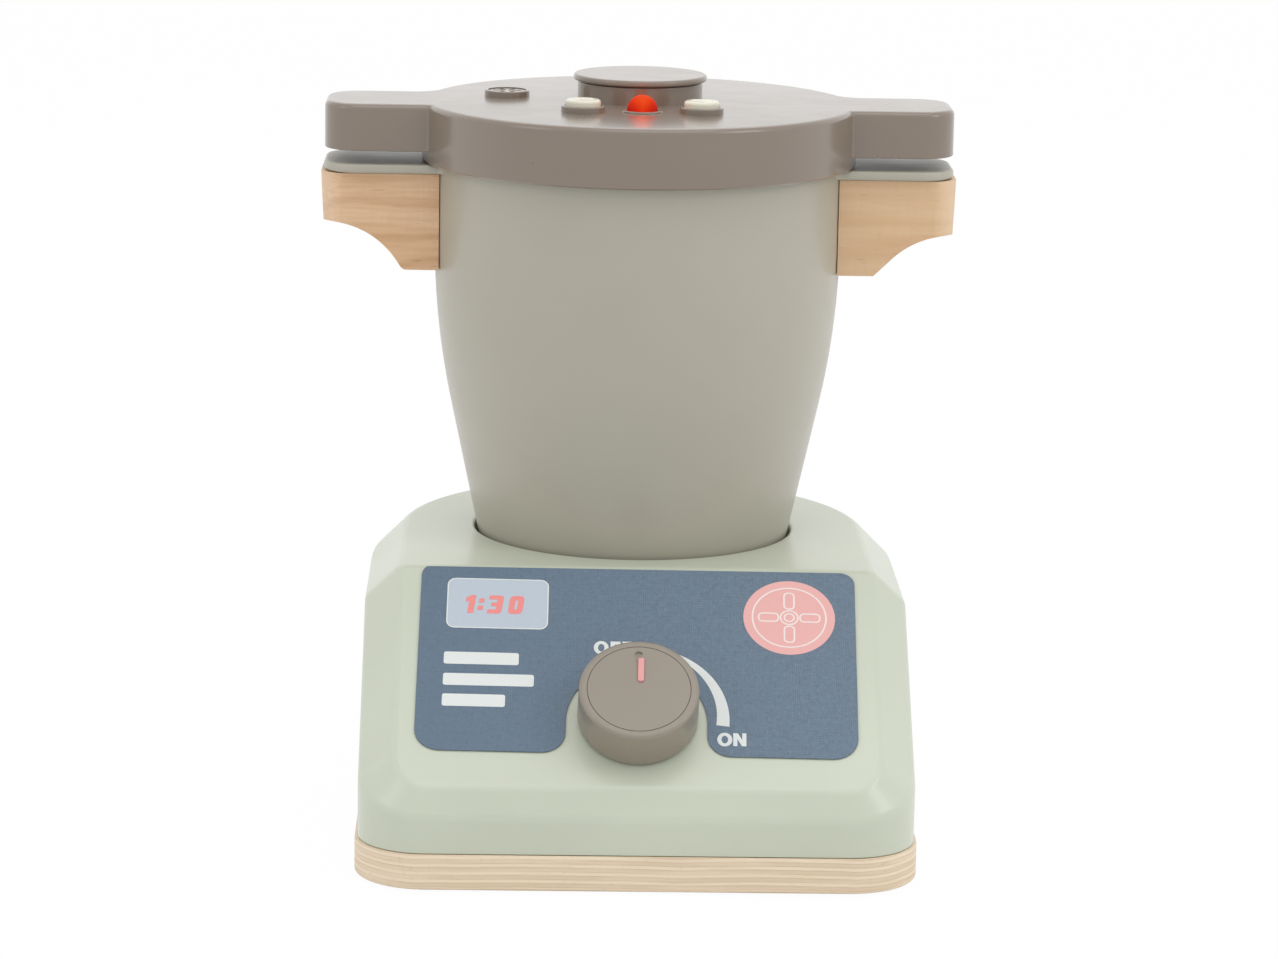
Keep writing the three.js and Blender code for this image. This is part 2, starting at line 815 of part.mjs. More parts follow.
function potShell() {
  const foot = potRadiusAt(potBottom);
  const levels = Array.from(
    { length: arcSteps + 1 },
    (_, i) => bowStart + ((potBowTop - bowStart) * i) / arcSteps,
  );
  const outer = [
    [0, potBottom],
    ...arc(foot - potFootEase, potBottom + potFootEase, potFootEase, -Math.PI / 2, 0, roundSteps),
    ...levels.map((level) => [potRadiusAt(level), level]),
    [potRadius, potRimLevel],
    [0, potRimLevel],
  ];
  const innerFoot = potRadiusAt(potInside) - potWall;
  const inner = [
    [0, potInside],
    ...arc(innerFoot - potFootEase, potInside + potFootEase, potFootEase, -Math.PI / 2, 0, roundSteps),
    ...levels.map((level) => [potRadiusAt(level) - potWall, level]),
    [potRadius - potWall, potRimLevel + overrun],
    [0, potRimLevel + overrun],
  ];
  const earPlan = armsOutline(potRadius, earSpan, earDepth, earCorner, earFrontRoot, earBackRoot);
  const ears = raised(earPlan, earBottom, earLevel, earEase);
  const bossTop = potInside + bladeBossHeight;
  const boss = disc(bladeBossRadius, potInside - gap, bossTop);
  const axleHole = disc(axleRadius + gap, bossTop - axleSeat, bossTop + overrun);
  const holes = gripScrewPlaces.map(([side, level]) => {
    const hole = disc(gripScrewRadius + gap, potRadius - potWall - overrun, potRadius + overrun, coarseSteps);
    return outward(hole, side, level);
  });
  const shell = cut(join(solid(turned(outer, fineSteps)), solid(ears)), solid(turned(inner, fineSteps)));
  return cut(join(shell, solid(boss)), solid(axleHole), ...holes);
}

// One grip, on the side that the sign gives: a block with a cove for the fingers, coped to the pot.
function grip(side) {
  const inner = potRadius - gripDepth / 2;
  const profile = [
    [inner, gripBottom],
    [gripReach - gripSlant, gripBottom],
    [gripReach, gripTop],
    [inner, gripTop],
  ];
  const board = raised(profile, -gripDepth / 2, gripDepth / 2).rotateX(Math.PI / 2);
  const plan = roundedRectangle(2 * gripReach, gripDepth, gripCorner);
  const cove = new THREE.CylinderGeometry(coveRadius, coveRadius, gripDepth + 2 * overrun, fineSteps);
  const coveBelow = side > 0 ? rightCoveBelow : leftCoveBelow;
  cove.translate(earSpan / 2 - coveInset, 0, gripBottom - coveBelow);
  const potWay = disc(potRadius + gap, gripBottom - overrun, gripTop + overrun, fineSteps);
  const pilotEnd = potRadius + 2 * gap + gripScrewBite;
  const pilots = gripScrewLevels.map((level) =>
    outward(disc(gripScrewRadius + gap, potRadius, pilotEnd, coarseSteps), 1, level),
  );
  const rounded = solid(board).intersect(solid(raised(plan, gripBottom - overrun, gripTop + overrun)));
  const right = cut(rounded, solid(cove), solid(potWay), ...pilots);
  return side > 0 ? right : right.mirror([1, 0, 0]);
}

// A screw from inside the pot, through its wall and into the grip.
function gripScrew([side, level]) {
  const length = potRadius + gap + gripScrewBite - gripScrewSeat;
  const screw = screwProfile(gripScrewRadius, gripScrewHeadRadius, gripScrewHeadHeight, length);
  return outward(screw.translate(0, 0, gripScrewSeat), side, level);
}

const bladeHubBottom = potInside + bladeBossHeight + gap;
const bladeHubTop = bladeHubBottom + bladeHubHeight;

function bladeAxle() {
  const bottom = potInside + bladeBossHeight - axleSeat + gap;
  const headBottom = bladeHubTop + gap;
  return solid(
    turned([
      [0, bottom],
      [axleRadius, bottom],
      [axleRadius, headBottom],
      [axleHeadRadius, headBottom],
      [axleHeadRadius, headBottom + axleHeadHeight],
      [0, headBottom + axleHeadHeight],
    ]),
  );
}

// Four tapering blades round a hub, each turned a little about its own length.
function mixingBlade() {
  const hub = solid(disc(bladeHubRadius, bladeHubBottom, bladeHubTop));
  const blades = Array.from({ length: bladeCount }, (_, i) => {
    const tip = bladeTipWidth / 2;
    const outline = [
      [0, -bladeRootWidth / 2],
      ...arc(bladeReach - tip, 0, tip, -Math.PI / 2, Math.PI / 2),
      [0, bladeRootWidth / 2],
    ];
    const blade = raised(outline, -bladeThickness / 2, bladeThickness / 2);
    blade.rotateX(bladePitch).rotateZ((2 * Math.PI * i) / bladeCount);
    return solid(blade.translate(0, 0, (bladeHubBottom + bladeHubTop) / 2));
  });
  const bore = disc(axleRadius + gap, bladeHubBottom - overrun, bladeHubTop + overrun);
  return cut(join(hub, ...blades), solid(bore));
}

const lidScrewPlaces = [
  [-lidPostSpread, -lidPostSpread],
  [lidPostSpread, -lidPostSpread],
  [lidPostSpread, lidPostSpread],
  [-lidPostSpread, lidPostSpread],
];
const buttonPlaces = [-buttonAcross, buttonAcross];
const boardPostPlaces = [-boardPostAcross, boardPostAcross];
const buttonBore = buttonRadius + gap;
const collarTop = lidTopLevel + lidCrown + collarHeight - gap;
const outletTop = lidTopLevel + outletHeight;
const outletBore = outletRadius - outletWall;

// Rims, posts and ribs that stand on the lid's upper wall.
function lidFittings() {
  const rims = buttonPlaces.map((x) =>
    disc(collarRadius, lidCeiling, collarTop, mediumSteps).translate(x, -buttonForward, 0),
  );
  rims.push(disc(ledSeatRadius, lidCeiling, lidTopLevel + ledSeatHeight).translate(0, -ledForward, 0));
  rims.push(disc(outletRadius, lidCeiling, outletTop).translate(-outletAcross, outletBack, 0));
  rims.push(disc(neckRadius, trayLevel, neckTop, fineSteps));
  const ribInner = speakerRadius + gap;
  const rib = hoop(ribInner + speakerRibWall, ribInner, lidCeiling - speakerRibHeight, lidCeiling + gap);
  rims.push(rib.translate(-outletAcross, outletBack, 0));
  lidScrewPlaces.forEach(([x, y]) => {
    rims.push(disc(lidPostRadius, trayFloorTop + gap, lidCeiling + gap, coarseSteps).translate(x, y, 0));
  });
  boardPostPlaces.forEach((x) => {
    const post = disc(boardPostRadius, boardTop + gap, lidCeiling + gap, coarseSteps);
    rims.push(post.translate(x, -buttonForward, 0));
  });
  return rims.map(solid);
}

function lidHoles() {
  const holes = buttonPlaces.map((x) =>
    disc(buttonBore, lidCeiling - overrun, collarTop + overrun).translate(x, -buttonForward, 0),
  );
  holes.push(disc(lensRadius + gap, lidCeiling - overrun, collarTop).translate(0, -ledForward, 0));
  const seat = disc(outletBore, outletTop - grilleThickness - gap, outletTop + overrun);
  holes.push(seat.translate(-outletAcross, outletBack, 0));
  const way = disc(outletBore - outletWall, lidCeiling - overrun, outletTop + overrun);
  holes.push(way.translate(-outletAcross, outletBack, 0));
  holes.push(disc(neckBore, trayLevel - overrun, neckTop + overrun, fineSteps));
  lidScrewPlaces.forEach(([x, y]) => {
    const pilot = disc(lidScrewRadius + gap, trayFloorTop, trayFloorTop + lidScrewBite + gap, coarseSteps);
    holes.push(pilot.translate(x, y, 0));
  });
  boardPostPlaces.forEach((x) => {
    const pilot = disc(boardScrewRadius + gap, boardTop, boardTop + boardScrewBite + gap, coarseSteps);
    holes.push(pilot.translate(x, -buttonForward, 0));
  });
  return holes.map(solid);
}

// Profile of the lid's upper face, which rises a little towards its middle.
function lidCrownProfile() {
  const edge = lidRadius - lidEase;
  return Array.from({ length: arcSteps + 1 }, (_, i) => {
    const share = i / arcSteps;
    return [edge * (1 - share), lidTopLevel + lidCrown * (1 - (1 - share) ** 2)];
  });
}

function lidShell() {
  const armPlan = armsOutline(lidRadius, armSpan, armDepth, armCorner, armFrontRoot, armBackRoot);
  const arms = raised(armPlan, armBottom, lidTopLevel, lidEase);
  const edge = lidRadius - lidEase;
  const cover = turned(
    [
      [0, lidBottom],
      [lidRadius, lidBottom],
      ...arc(edge, lidTopLevel - lidEase, lidEase, 0, Math.PI / 2, roundSteps),
      ...lidCrownProfile(),
    ],
    fineSteps,
  );
  const hollow = disc(lidRadius - lidWall, lidBottom - overrun, lidCeiling, fineSteps);
  const armInside = roundedRectangle(armSpan - 2 * lidWall, armDepth - 2 * lidWall, armCorner - lidWall);
  const armHollow = cut(
    solid(raised(armInside, lidBottom - overrun, lidCeiling)),
    solid(disc(lidRadius, lidBottom - 2 * overrun, lidTopLevel, fineSteps)),
  );
  const shell = cut(join(solid(cover), solid(arms)), solid(hollow), armHollow);
  return cut(join(shell, ...lidFittings()), ...lidHoles());
}

const boxWidth = cellLength + cellNubLength + 2 * (contactThickness + 3 * gap);
const boxDepth = cellPitch + 2 * (cellRadius + gap);
const cellBack = neckRadius + boxBehindNeck + boxWall + boxDepth / 2;
const doorScrewX = boxWidth / 2 + doorTongue / 2;
const contactX = boxWidth / 2 - gap - contactThickness / 2;

// The door's tongue, shrunk by a distance all round: a round end about its screw, and a bridge to the door.
function doorTongueSolids(shrink, low, high) {
  const end = disc(doorTongue / 2 - shrink, low, high, coarseSteps).translate(doorScrewX, cellBack, 0);
  const bridgeX = doorScrewX - doorTongue / 2;
  const bridge = block(doorTongue, doorTongue - 2 * shrink, low, high, bridgeX, cellBack);
  return [solid(end), solid(bridge)];
}

// Tray that closes the lid from below: floor, plug wall, flange on the pot's rim, walls round the batteries.
function lidBase() {
  const flangeRadius = lidRadius - lidWall - flangeClearance;
  const tray = turned(
    [
      [0, trayLevel],
      [plugRadius, trayLevel],
      [plugRadius, flangeBottom],
      [flangeRadius, flangeBottom],
      [flangeRadius, flangeBottom + trayWall],
      [plugRadius - trayWall, flangeBottom + trayWall],
      [plugRadius - trayWall, trayFloorTop],
      [0, trayFloorTop],
    ],
    fineSteps,
  );
  const boxTop = trayFloorTop + boxHeight;
  const below = trayLevel - overrun;
  const box = block(boxWidth + 2 * boxWall, boxDepth + 2 * boxWall, trayLevel, boxTop, 0, cellBack);
  const boxRoom = block(boxWidth, boxDepth, below, boxTop + overrun, 0, cellBack);
  const doorBoss = disc(doorTongue / 2 + boxWall, trayLevel, trayFloorTop + doorScrewBite, coarseSteps);
  doorBoss.translate(doorScrewX, cellBack, 0);
  const doorHole = disc(doorScrewRadius + gap, below, trayLevel + doorScrewBite + gap, coarseSteps);
  doorHole.translate(doorScrewX, cellBack, 0);
  const tongueRooms = doorTongueSolids(0, below, trayLevel + doorThickness);
  const neckWay = disc(neckRadius + gap, below, trayFloorTop + overrun, fineSteps);
  const screwWays = lidScrewPlaces.map(([x, y]) =>
    solid(disc(lidScrewRadius + gap, below, trayFloorTop + overrun, coarseSteps).translate(x, y, 0)),
  );
  const body = join(solid(tray), solid(box), solid(doorBoss));
  return cut(body, solid(boxRoom), solid(doorHole), ...tongueRooms, solid(neckWay), ...screwWays);
}

function batteryDoor() {
  const top = trayLevel + doorThickness - gap;
  const panel = block(boxWidth - 2 * gap, boxDepth - 2 * gap, trayLevel, top, 0, cellBack);
  const tongue = doorTongueSolids(gap, trayLevel, top);
  const hole = disc(doorScrewRadius + gap, trayLevel - overrun, trayFloorTop + overrun, coarseSteps);
  hole.translate(doorScrewX, cellBack, 0);
  return cut(join(solid(panel), ...tongue), solid(hole));
}

function addBatteries() {
  const level = trayFloorTop + gap + cellRadius;
  [-1, 1].forEach((side, i) => {
    const cell = turned(
      [
        [0, -cellLength / 2],
        [cellRadius, -cellLength / 2],
        [cellRadius, cellLength / 2],
        [cellNubRadius, cellLength / 2],
        [cellNubRadius, cellLength / 2 + cellNubLength],
        [0, cellLength / 2 + cellNubLength],
      ],
      coarseSteps,
    );
    cell.translate(0, 0, -cellNubLength / 2).rotateY((side * Math.PI) / 2);
    add(`battery_${i + 1}`, solid(cell.translate(0, cellBack + (side * cellPitch) / 2, level)), cellBlue);
  });
}

// On the left one long contact joins the two cells. On the right each cell has a contact of its own.
function addContacts() {
  const width = boxDepth - 2 * gap;
  const low = trayFloorTop + gap;
  const high = low + contactHeight;
  add("battery_contact_1", block(contactThickness, width, low, high, -contactX, cellBack), steel);
  [-1, 1].forEach((side, i) => {
    const y = cellBack + (side * cellPitch) / 2;
    const contact = block(contactThickness, cellPitch - 2 * gap, low, high, contactX, y);
    add(`battery_contact_${i + 2}`, contact, steel);
  });
}

// An insulated wire through chosen places. It starts and ends just clear of what it is soldered to.
function lead(places) {
  const path = new THREE.CatmullRomCurve3(places.map(([x, y, z]) => new THREE.Vector3(x, y, z)));
  const ring = arc(0, 0, leadRadius, 0, 2 * Math.PI, leadSides).slice(1);
  const section = new THREE.Shape(ring.map(([x, y]) => new THREE.Vector2(x, y)));
  const options = { steps: mediumSteps, extrudePath: path, bevelEnabled: false };
  return solid(new THREE.ExtrudeGeometry(section, options));
}

// Two wires run from the batteries past the neck to the board, and two from the speaker.
function addLeads() {
  const boardUnder = boardLevel - gap;
  const overBox = trayFloorTop + boxHeight + leadSlack;
  const neckPass = neckRadius + leadSlack;
  const boardBack = boardDepth / 2 - buttonForward - leadPitch;
  const contactTop = trayFloorTop + gap + contactHeight;
  const solderX = contactX + contactThickness / 2 - leadRadius;
  [-1, 1].forEach((side, i) => {
    const cellY = cellBack + (side * cellPitch) / 2;
    const pass = neckPass + (side * leadPitch) / 2;
    const places = [
      [solderX, cellY, contactTop + gap],
      [solderX, cellY, overBox],
      [pass, neckBore, overBox],
      [pass, 0, trayFloorTop + boxHeight],
      [pass, -neckBore, overBox - leadPitch],
      [neckBore + side * leadPitch, boardBack, boardUnder - leadSlack],
      [neckBore + side * leadPitch, boardBack, boardUnder],
    ];
    add(`battery_lead_${i + 1}`, lead(places), i ? redWire : blackWire);
  });
  const speakerBack = lidCeiling - gap - speakerDepth - gap;
  [-1, 1].forEach((side, i) => {
    const startX = side * leadPitch - outletAcross;
    const places = [
      [startX, outletBack, speakerBack],
      [startX, outletBack, speakerBack - leadSlack],
      [startX, -neckBore, trayFloorTop + boxHeight],
      [side * leadPitch - neckBore, boardBack, boardUnder - leadSlack],
      [side * leadPitch - neckBore, boardBack, boardUnder],
    ];
    add(`speaker_lead_${i + 1}`, lead(places), i ? redWire : blackWire);
  });
}

const buttonSeat = lidCeiling - gap;

// A button: domed top with a shallow dish, a flange that keeps it in, and a stem down to its switch.
function lidButton(x) {
  const top = collarTop + buttonProud;
  const stemBottom = boardTop + gap + switchHeight + plungerHeight + buttonTravel + gap;
  const profile = [
    [0, stemBottom],
    [buttonStemRadius, stemBottom],
    [buttonStemRadius, buttonSeat - buttonFlangeThickness],
    [buttonFlange, buttonSeat - buttonFlangeThickness],
    [buttonFlange, buttonSeat],
    [buttonRadius, buttonSeat],
    ...arc(buttonRadius - buttonEase, top - buttonEase, buttonEase, 0, Math.PI / 2, roundSteps),
    [buttonDishRadius, top],
    [buttonDishRadius - buttonDish, top - buttonDish],
    [0, top - buttonDish],
  ];
  return solid(turned(profile).translate(x, -buttonForward, 0));
}

function ledLens() {
  const spring = lidTopLevel + ledSeatHeight;
  const inner = lensRadius - lensWall;
  const foot = buttonSeat - lensFlangeThickness;
  const profile = [
    ...arc(0, spring, inner, Math.PI / 2, 0),
    [inner, foot],
    [lensFlange, foot],
    [lensFlange, buttonSeat],
    [lensRadius, buttonSeat],
    ...arc(0, spring, lensRadius, 0, Math.PI / 2),
  ];
  return solid(turned(profile).translate(0, -ledForward, 0));
}

function ledBody() {
  const low = boardTop + gap;
  const shoulder = lidTopLevel - lensFlangeThickness;
  const profile = [[0, low], [ledRadius, low], ...arc(0, shoulder, ledRadius, 0, Math.PI / 2, roundSteps)];
  return solid(turned(profile, coarseSteps).translate(0, -ledForward, 0));
}

function circuitBoard() {
  const outline = roundedRectangle(boardWidth, boardDepth, boardCorner, 0, -buttonForward, roundSteps);
  const holes = boardPostPlaces.map((x) => {
    const hole = disc(boardScrewRadius + gap, boardLevel - overrun, boardTop + overrun, coarseSteps);
    return solid(hole.translate(x, -buttonForward, 0));
  });
  return cut(solid(raised(outline, boardLevel, boardTop)), ...holes);
}

function tactSwitch(x) {
  const low = boardTop + gap;
  const body = block(switchSize, switchSize, low, low + switchHeight, x, -buttonForward);
  const plunger = disc(plungerRadius, low + plungerHeight, low + switchHeight + plungerHeight, coarseSteps);
  return join(solid(body), solid(plunger.translate(x, -buttonForward, 0)));
}

function speaker() {
  const top = lidCeiling - gap;
  const profile = [
    [0, top - speakerDepth],
    [speakerMagnetRadius, top - speakerDepth],
    [speakerMagnetRadius, top - speakerDepth / 2],
    [speakerRadius, top - speakerRim],
    [speakerRadius, top],
    [0, top],
  ];
  return solid(turned(profile).translate(-outletAcross, outletBack, 0));
}

function speakerGrille() {
  const body = solid(disc(outletBore - gap, outletTop - grilleThickness, outletTop - gap));
  const petals = Array.from({ length: petalCount }, (_, i) => {
    const middle = petalNear + petalLength / 2;
    const petal = roundedRectangle(petalLength, petalWidth, petalWidth / 2 - gap, middle, 0, roundSteps);
    const slot = raised(petal, outletTop - grilleThickness - overrun, outletTop + overrun);
    return solid(slot.rotateZ((2 * Math.PI * i) / petalCount));
  });
  return cut(body, ...petals).translate([-outletAcross, outletBack, 0]);
}

function measuringCap() {
  const cup = neckBore - capCupClearance;
  const inner = cup - capCupWall;
  const top = capBottom + capThickness;
  const cupBottom = capBottom - capCupDepth;
  const profile = [
    [0, capBottom],
    [inner, capBottom],
    [inner, cupBottom],
    [cup, cupBottom],
    [cup, capBottom],
    ...arc(capRadius - capEase, capBottom + capEase, capEase, -Math.PI / 2, 0, roundSteps),
    ...arc(capRadius - capEase, top - capEase, capEase, 0, Math.PI / 2, roundSteps),
    [0, top],
  ];
  return solid(turned(profile, fineSteps));
}

// The base
add("base_plate", basePlate(), plywood);
addBaseFastenings();
add("base_housing", baseHousing(), mintPlastic);
add("base_well", baseWell(), mintPlastic);
toy.add(panelFrame);
add("control_label", solid(raised(labelOutline(), gap, gap + labelThickness)), printedFilm, panelFrame);
add("knob_bush", knobBush(), darkPlastic, panelFrame);
add("knob_body", knobBody(), taupePlastic, panelFrame);
add("knob_face", knobFace(), taupePlastic, panelFrame);
add("knob_pointer", knobPointer(), pinkPlastic, panelFrame);
add("knob_spindle", knobSpindle(), steel, panelFrame);
add("detent_wheel", detentWheel(), whitePlastic, panelFrame);
add("spindle_clip", spindleClip(), steel, panelFrame);
add("detent_spring", detentSpring(), steel, panelFrame);
add("detent_spring_screw", springScrew(), steel, panelFrame);

// The pot
add("pot_shell", potShell(), stonePlastic);
add("left_grip", grip(-1), beech);
add("right_grip", grip(1), beech);
gripScrewPlaces.forEach((place, i) => add(`grip_screw_${i + 1}`, gripScrew(place), steel));
add("blade_axle", bladeAxle(), steel);
add("mixing_blade", mixingBlade(), taupePlastic);

// The lid
add("lid_shell", lidShell(), taupePlastic);
add("lid_base", lidBase(), taupePlastic);
lidScrewPlaces.forEach(([x, y], i) => {
  const length = trayWall + lidScrewBite;
  const screw = screwProfile(lidScrewRadius, lidScrewHeadRadius, lidScrewHeadHeight, length);
  add(`lid_screw_${i + 1}`, solid(screw.translate(x, y, trayLevel - gap)), steel);
});
add("battery_door", batteryDoor(), taupePlastic);
const doorScrew = screwProfile(doorScrewRadius, doorScrewHeadRadius, doorScrewHeadHeight, doorScrewBite);
add("battery_door_screw", solid(doorScrew.translate(doorScrewX, cellBack, trayLevel - gap)), steel);
addBatteries();
addContacts();
add("circuit_board", circuitBoard(), boardGreen);
boardPostPlaces.forEach((x, i) => {
  const length = boardThickness + boardScrewBite;
  const screw = screwProfile(boardScrewRadius, boardScrewHeadRadius, boardScrewHeadHeight, length);
  add(`board_screw_${i + 1}`, solid(screw.translate(x, -buttonForward, boardLevel - gap)), steel);
});
add("left_switch", tactSwitch(-buttonAcross), darkPlastic);
add("right_switch", tactSwitch(buttonAcross), darkPlastic);
add("left_button", lidButton(-buttonAcross), whitePlastic);
add("right_button", lidButton(buttonAcross), whitePlastic);
add("led_lens", ledLens(), redLens);
add("led_body", ledBody(), redLens);
add("speaker", speaker(), darkPlastic);
add("speaker_grille", speakerGrille(), taupePlastic);
addLeads();
add("measuring_cap", measuringCap(), taupePlastic);

// The origin moves from the pot's axis to the middle of the base plate.
toy.position.y = (baseReach - baseWidth / 2) / 2;

export default toy;
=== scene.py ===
"""A toy blender with a plywood plate, a sloping control panel, a lift-out pot and a lid with buttons.

Lengths in the shape code are in millimetres, in the frame of the CAD model, and become metres in the mesh.
"""
import math

import bmesh
import bpy
from mathutils import Matrix, Vector, geometry

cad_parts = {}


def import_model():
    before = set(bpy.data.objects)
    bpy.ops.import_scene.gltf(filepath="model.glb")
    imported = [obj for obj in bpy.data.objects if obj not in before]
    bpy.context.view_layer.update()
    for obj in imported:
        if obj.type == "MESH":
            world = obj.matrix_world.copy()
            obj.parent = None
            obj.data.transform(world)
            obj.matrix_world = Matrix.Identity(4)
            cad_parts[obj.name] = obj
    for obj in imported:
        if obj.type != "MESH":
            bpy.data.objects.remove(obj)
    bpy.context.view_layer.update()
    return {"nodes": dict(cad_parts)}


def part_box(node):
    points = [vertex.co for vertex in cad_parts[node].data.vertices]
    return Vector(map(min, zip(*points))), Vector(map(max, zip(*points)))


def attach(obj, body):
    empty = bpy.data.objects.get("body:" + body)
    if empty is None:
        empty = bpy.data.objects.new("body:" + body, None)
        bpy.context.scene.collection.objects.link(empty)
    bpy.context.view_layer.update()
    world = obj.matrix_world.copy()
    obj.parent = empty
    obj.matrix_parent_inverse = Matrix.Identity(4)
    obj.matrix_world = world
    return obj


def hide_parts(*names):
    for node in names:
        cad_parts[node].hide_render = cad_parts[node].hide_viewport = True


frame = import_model()

MM = 0.001
GAP = 0.3
OVER = 1
AXIS = 25.752
MIDDLE = (0, AXIS)
TURN = 2 * math.pi
QUARTER = math.pi / 2

# Base, as in the CAD model
BASE_HALF = 92.5
BASE_FRONT = 144.004
FRONT_CORNER = 23.0
PLATE_LOW, PLATE_HIGH = 1.0, 13.0
HOUSING_LOW = 13.3
PLATEAU = 92.7
PLATEAU_FRONT = 68.704
SLOPE = math.atan2(92.7 - 31.07, 75.3)
CHAMFER = 12.0
CREASE = 1.7
WALL = 2.5
WELL_FLOOR = 71.3
KNOB_DROP = 62.507
SCREW_HOLE = 2.2
BASE_SCREWS = [(x, y + AXIS) for x, y in ((-72.0, -118.004), (72.0, -118.004), (72.0, 46.11), (-72.0, 46.11))]

# Pot, lid and cap, as in the CAD model
POT_RADIUS = 71.0
TAPER = math.radians(12.1)
BOW, BOW_TOP = 270.0, 195.0
POT_LOW, POT_INSIDE, POT_RIM = 71.6, 74.6, 228.9
EAR_LOW, EAR_TOP = 219.6, 222.9
EAR_SPAN = 219.0
GRIP_LOW, GRIP_TOP = 185.8, 219.3
GRIP_SCREWS = [GRIP_LOW + share * 33.5 for share in (0.3, 0.66)]
LID_RADIUS, LID_LOW, LID_TOP, LID_CEILING = 75.75, 223.2, 243.7, 241.2
NECK_TOP = 250.9
TRAY_LOW = 214
BUTTONS = [(x, AXIS - 36) for x in (-20.2, 20.2)]
LED = (0, AXIS - 35)
OUTLET = (-46.3, AXIS + 5)
LID_SCREW = (68.1 - 2 - 9.1) / math.sqrt(2)
LID_SCREWS = [(a * LID_SCREW, AXIS + b * LID_SCREW) for a in (-1, 1) for b in (-1, 1)]


# Shapes

NEAR_AXIS, SAME_POINT = 1e-6, 1e-4
STRAIGHT = 0.01
EDGE_SHARE = 0.49
MERGE, DEGENERATE = 1e-6, 1e-7


def add(name, data):
    """Puts an object with some data into the scene."""
    obj = bpy.data.objects.new(name, data)
    bpy.context.scene.collection.objects.link(obj)
    return obj


def raw(name, verts, faces, place=None):
    """A mesh object from millimetres, with its faces turned out."""
    mesh = bpy.data.meshes.new(name)
    mesh.from_pydata([Vector(v) * MM for v in verts], [], faces)
    if place is not None:
        mesh.transform(place)
    obj = add(name, mesh)
    edit(obj, lambda bm: bmesh.ops.recalc_face_normals(bm, faces=bm.faces))
    return obj


def edit(obj, change):
    bm = bmesh.new()
    bm.from_mesh(obj.data)
    change(bm)
    bm.to_mesh(obj.data)
    bm.free()


def eased(points, segments=5):
    """Rounds the corners of a closed outline. Each point is (x, y) or (x, y, radius)."""
    out = []
    for i, point in enumerate(points):
        corner, radius = Vector(point[:2]), (*point, 0)[2]
        back = Vector(points[i - 1][:2]) - corner
        ahead = Vector(points[(i + 1) % len(points)][:2]) - corner
        angle = back.angle(ahead) if radius else 0
        if not radius or angle > math.pi - STRAIGHT:
            out.append(tuple(corner))
            continue
        reach = min(radius / math.tan(angle / 2), EDGE_SHARE * back.length, EDGE_SHARE * ahead.length)
        radius = reach * math.tan(angle / 2)
        back.normalize()
        ahead.normalize()
        centre = corner + (back + ahead).normalized() * (radius / math.sin(angle / 2))
        first, last = corner + back * reach - centre, corner + ahead * reach - centre
        start = math.atan2(first.y, first.x)
        sweep = (math.atan2(last.y, last.x) - start + math.pi) % TURN - math.pi
        out += arc(*centre, radius, start, start + sweep, segments)
    return out


def lathe(profile, at=(0, 0), steps=160, place=None):
    """Turns a closed profile of radius and height about a vertical line."""
    verts, rings = [], []
    for radius, level in profile:
        count = 1 if radius < NEAR_AXIS else steps
        rings.append(range(len(verts), len(verts) + count))
        verts += [(x, y, level) for x, y in (ellipse(*at, radius, radius, steps) if count > 1 else [at])]
    faces = []
    for i, low in enumerate(rings):
        high = rings[(i + 1) % len(rings)]
        for j in range(steps):
            k = (j + 1) % steps
            corners = low[j % len(low)], low[k % len(low)], high[k % len(high)], high[j % len(high)]
            face = tuple(dict.fromkeys(corners))
            if len(face) > 2:
                faces.append(face)
    return raw("lathe", verts, faces, place)


def rod(radius, low, high, at=(0, 0), steps=64, place=None):
    return lathe([(0, low), (radius, low), (radius, high), (0, high)], at, steps, place)


def collar(radius, low, high, ease, at=(0, 0), steps=96, segments=4, place=None):
    """A rod with its upper edge rounded."""
    profile = eased([(0, low), (radius, low), (radius, high, ease), (0, high)], segments)
    return lathe(profile, at, steps, place)


def arc(x, y, radius, start, end, steps=8):
    turns = [start + (end - start) * i / steps for i in range(steps + 1)]
    return [(x + radius * math.cos(t), y + radius * math.sin(t)) for t in turns]


def ellipse(x, y, radius_x, radius_y, steps=40):
    turns = [TURN * i / steps for i in range(steps)]
    return [(x + radius_x * math.cos(t), y + radius_y * math.sin(t)) for t in turns]


def rounded_box(width, depth, corner, x=0, y=0, steps=8):
    """Outline of a rectangle with rounded corners, about a centre."""
    w, d = width / 2 - corner, depth / 2 - corner
    out = []
    for i, (a, b) in enumerate(((1, 1), (-1, 1), (-1, -1), (1, -1))):
        out += arc(x + a * w, y + b * d, corner, i * QUARTER, (i + 1) * QUARTER, steps)
    return out


def shifted(outline, x=0, y=AXIS):
    return [(px + x, py + y) for px, py in outline]


def mirrored(points):
    return [(-x, y) for x, y in reversed(points)]


def move(x, y, z=0):
    return Matrix.Translation((x * MM, y * MM, z * MM))


def spin(angle, axis):
    return Matrix.Rotation(angle, 4, axis)


def off_axis(p):
    """How far a point lies from the pot's axis."""
    return math.hypot(p.x, p.y - AXIS)


def inset(outline, distance):
    """The outline moved inward. It runs counter-clockwise."""
    least = 0.3
    points = [Vector(p) for p in outline]
    sides = [b - a for a, b in zip(points, points[1:] + points[:1])]
    normals = [Vector((side.y, -side.x)).normalized() for side in sides]
    return [
        tuple(p - (m + n) / max(1 + m.dot(n), least) * distance)
        for p, m, n in zip(points, normals[-1:] + normals, normals)
    ]


def unique(outline):
    """Drops points that repeat the one before."""
    out = []
    for p in outline:
        if not out or math.dist(p, out[-1]) > SAME_POINT:
            out.append(p)
    return out[:-1] if math.dist(out[0], out[-1]) < SAME_POINT else out


def walls(low, high, count):
    """The faces between two rings of points, whose first points are given."""
    return [(low + i, low + (i + 1) % count, high + (i + 1) % count, high + i) for i in range(count)]


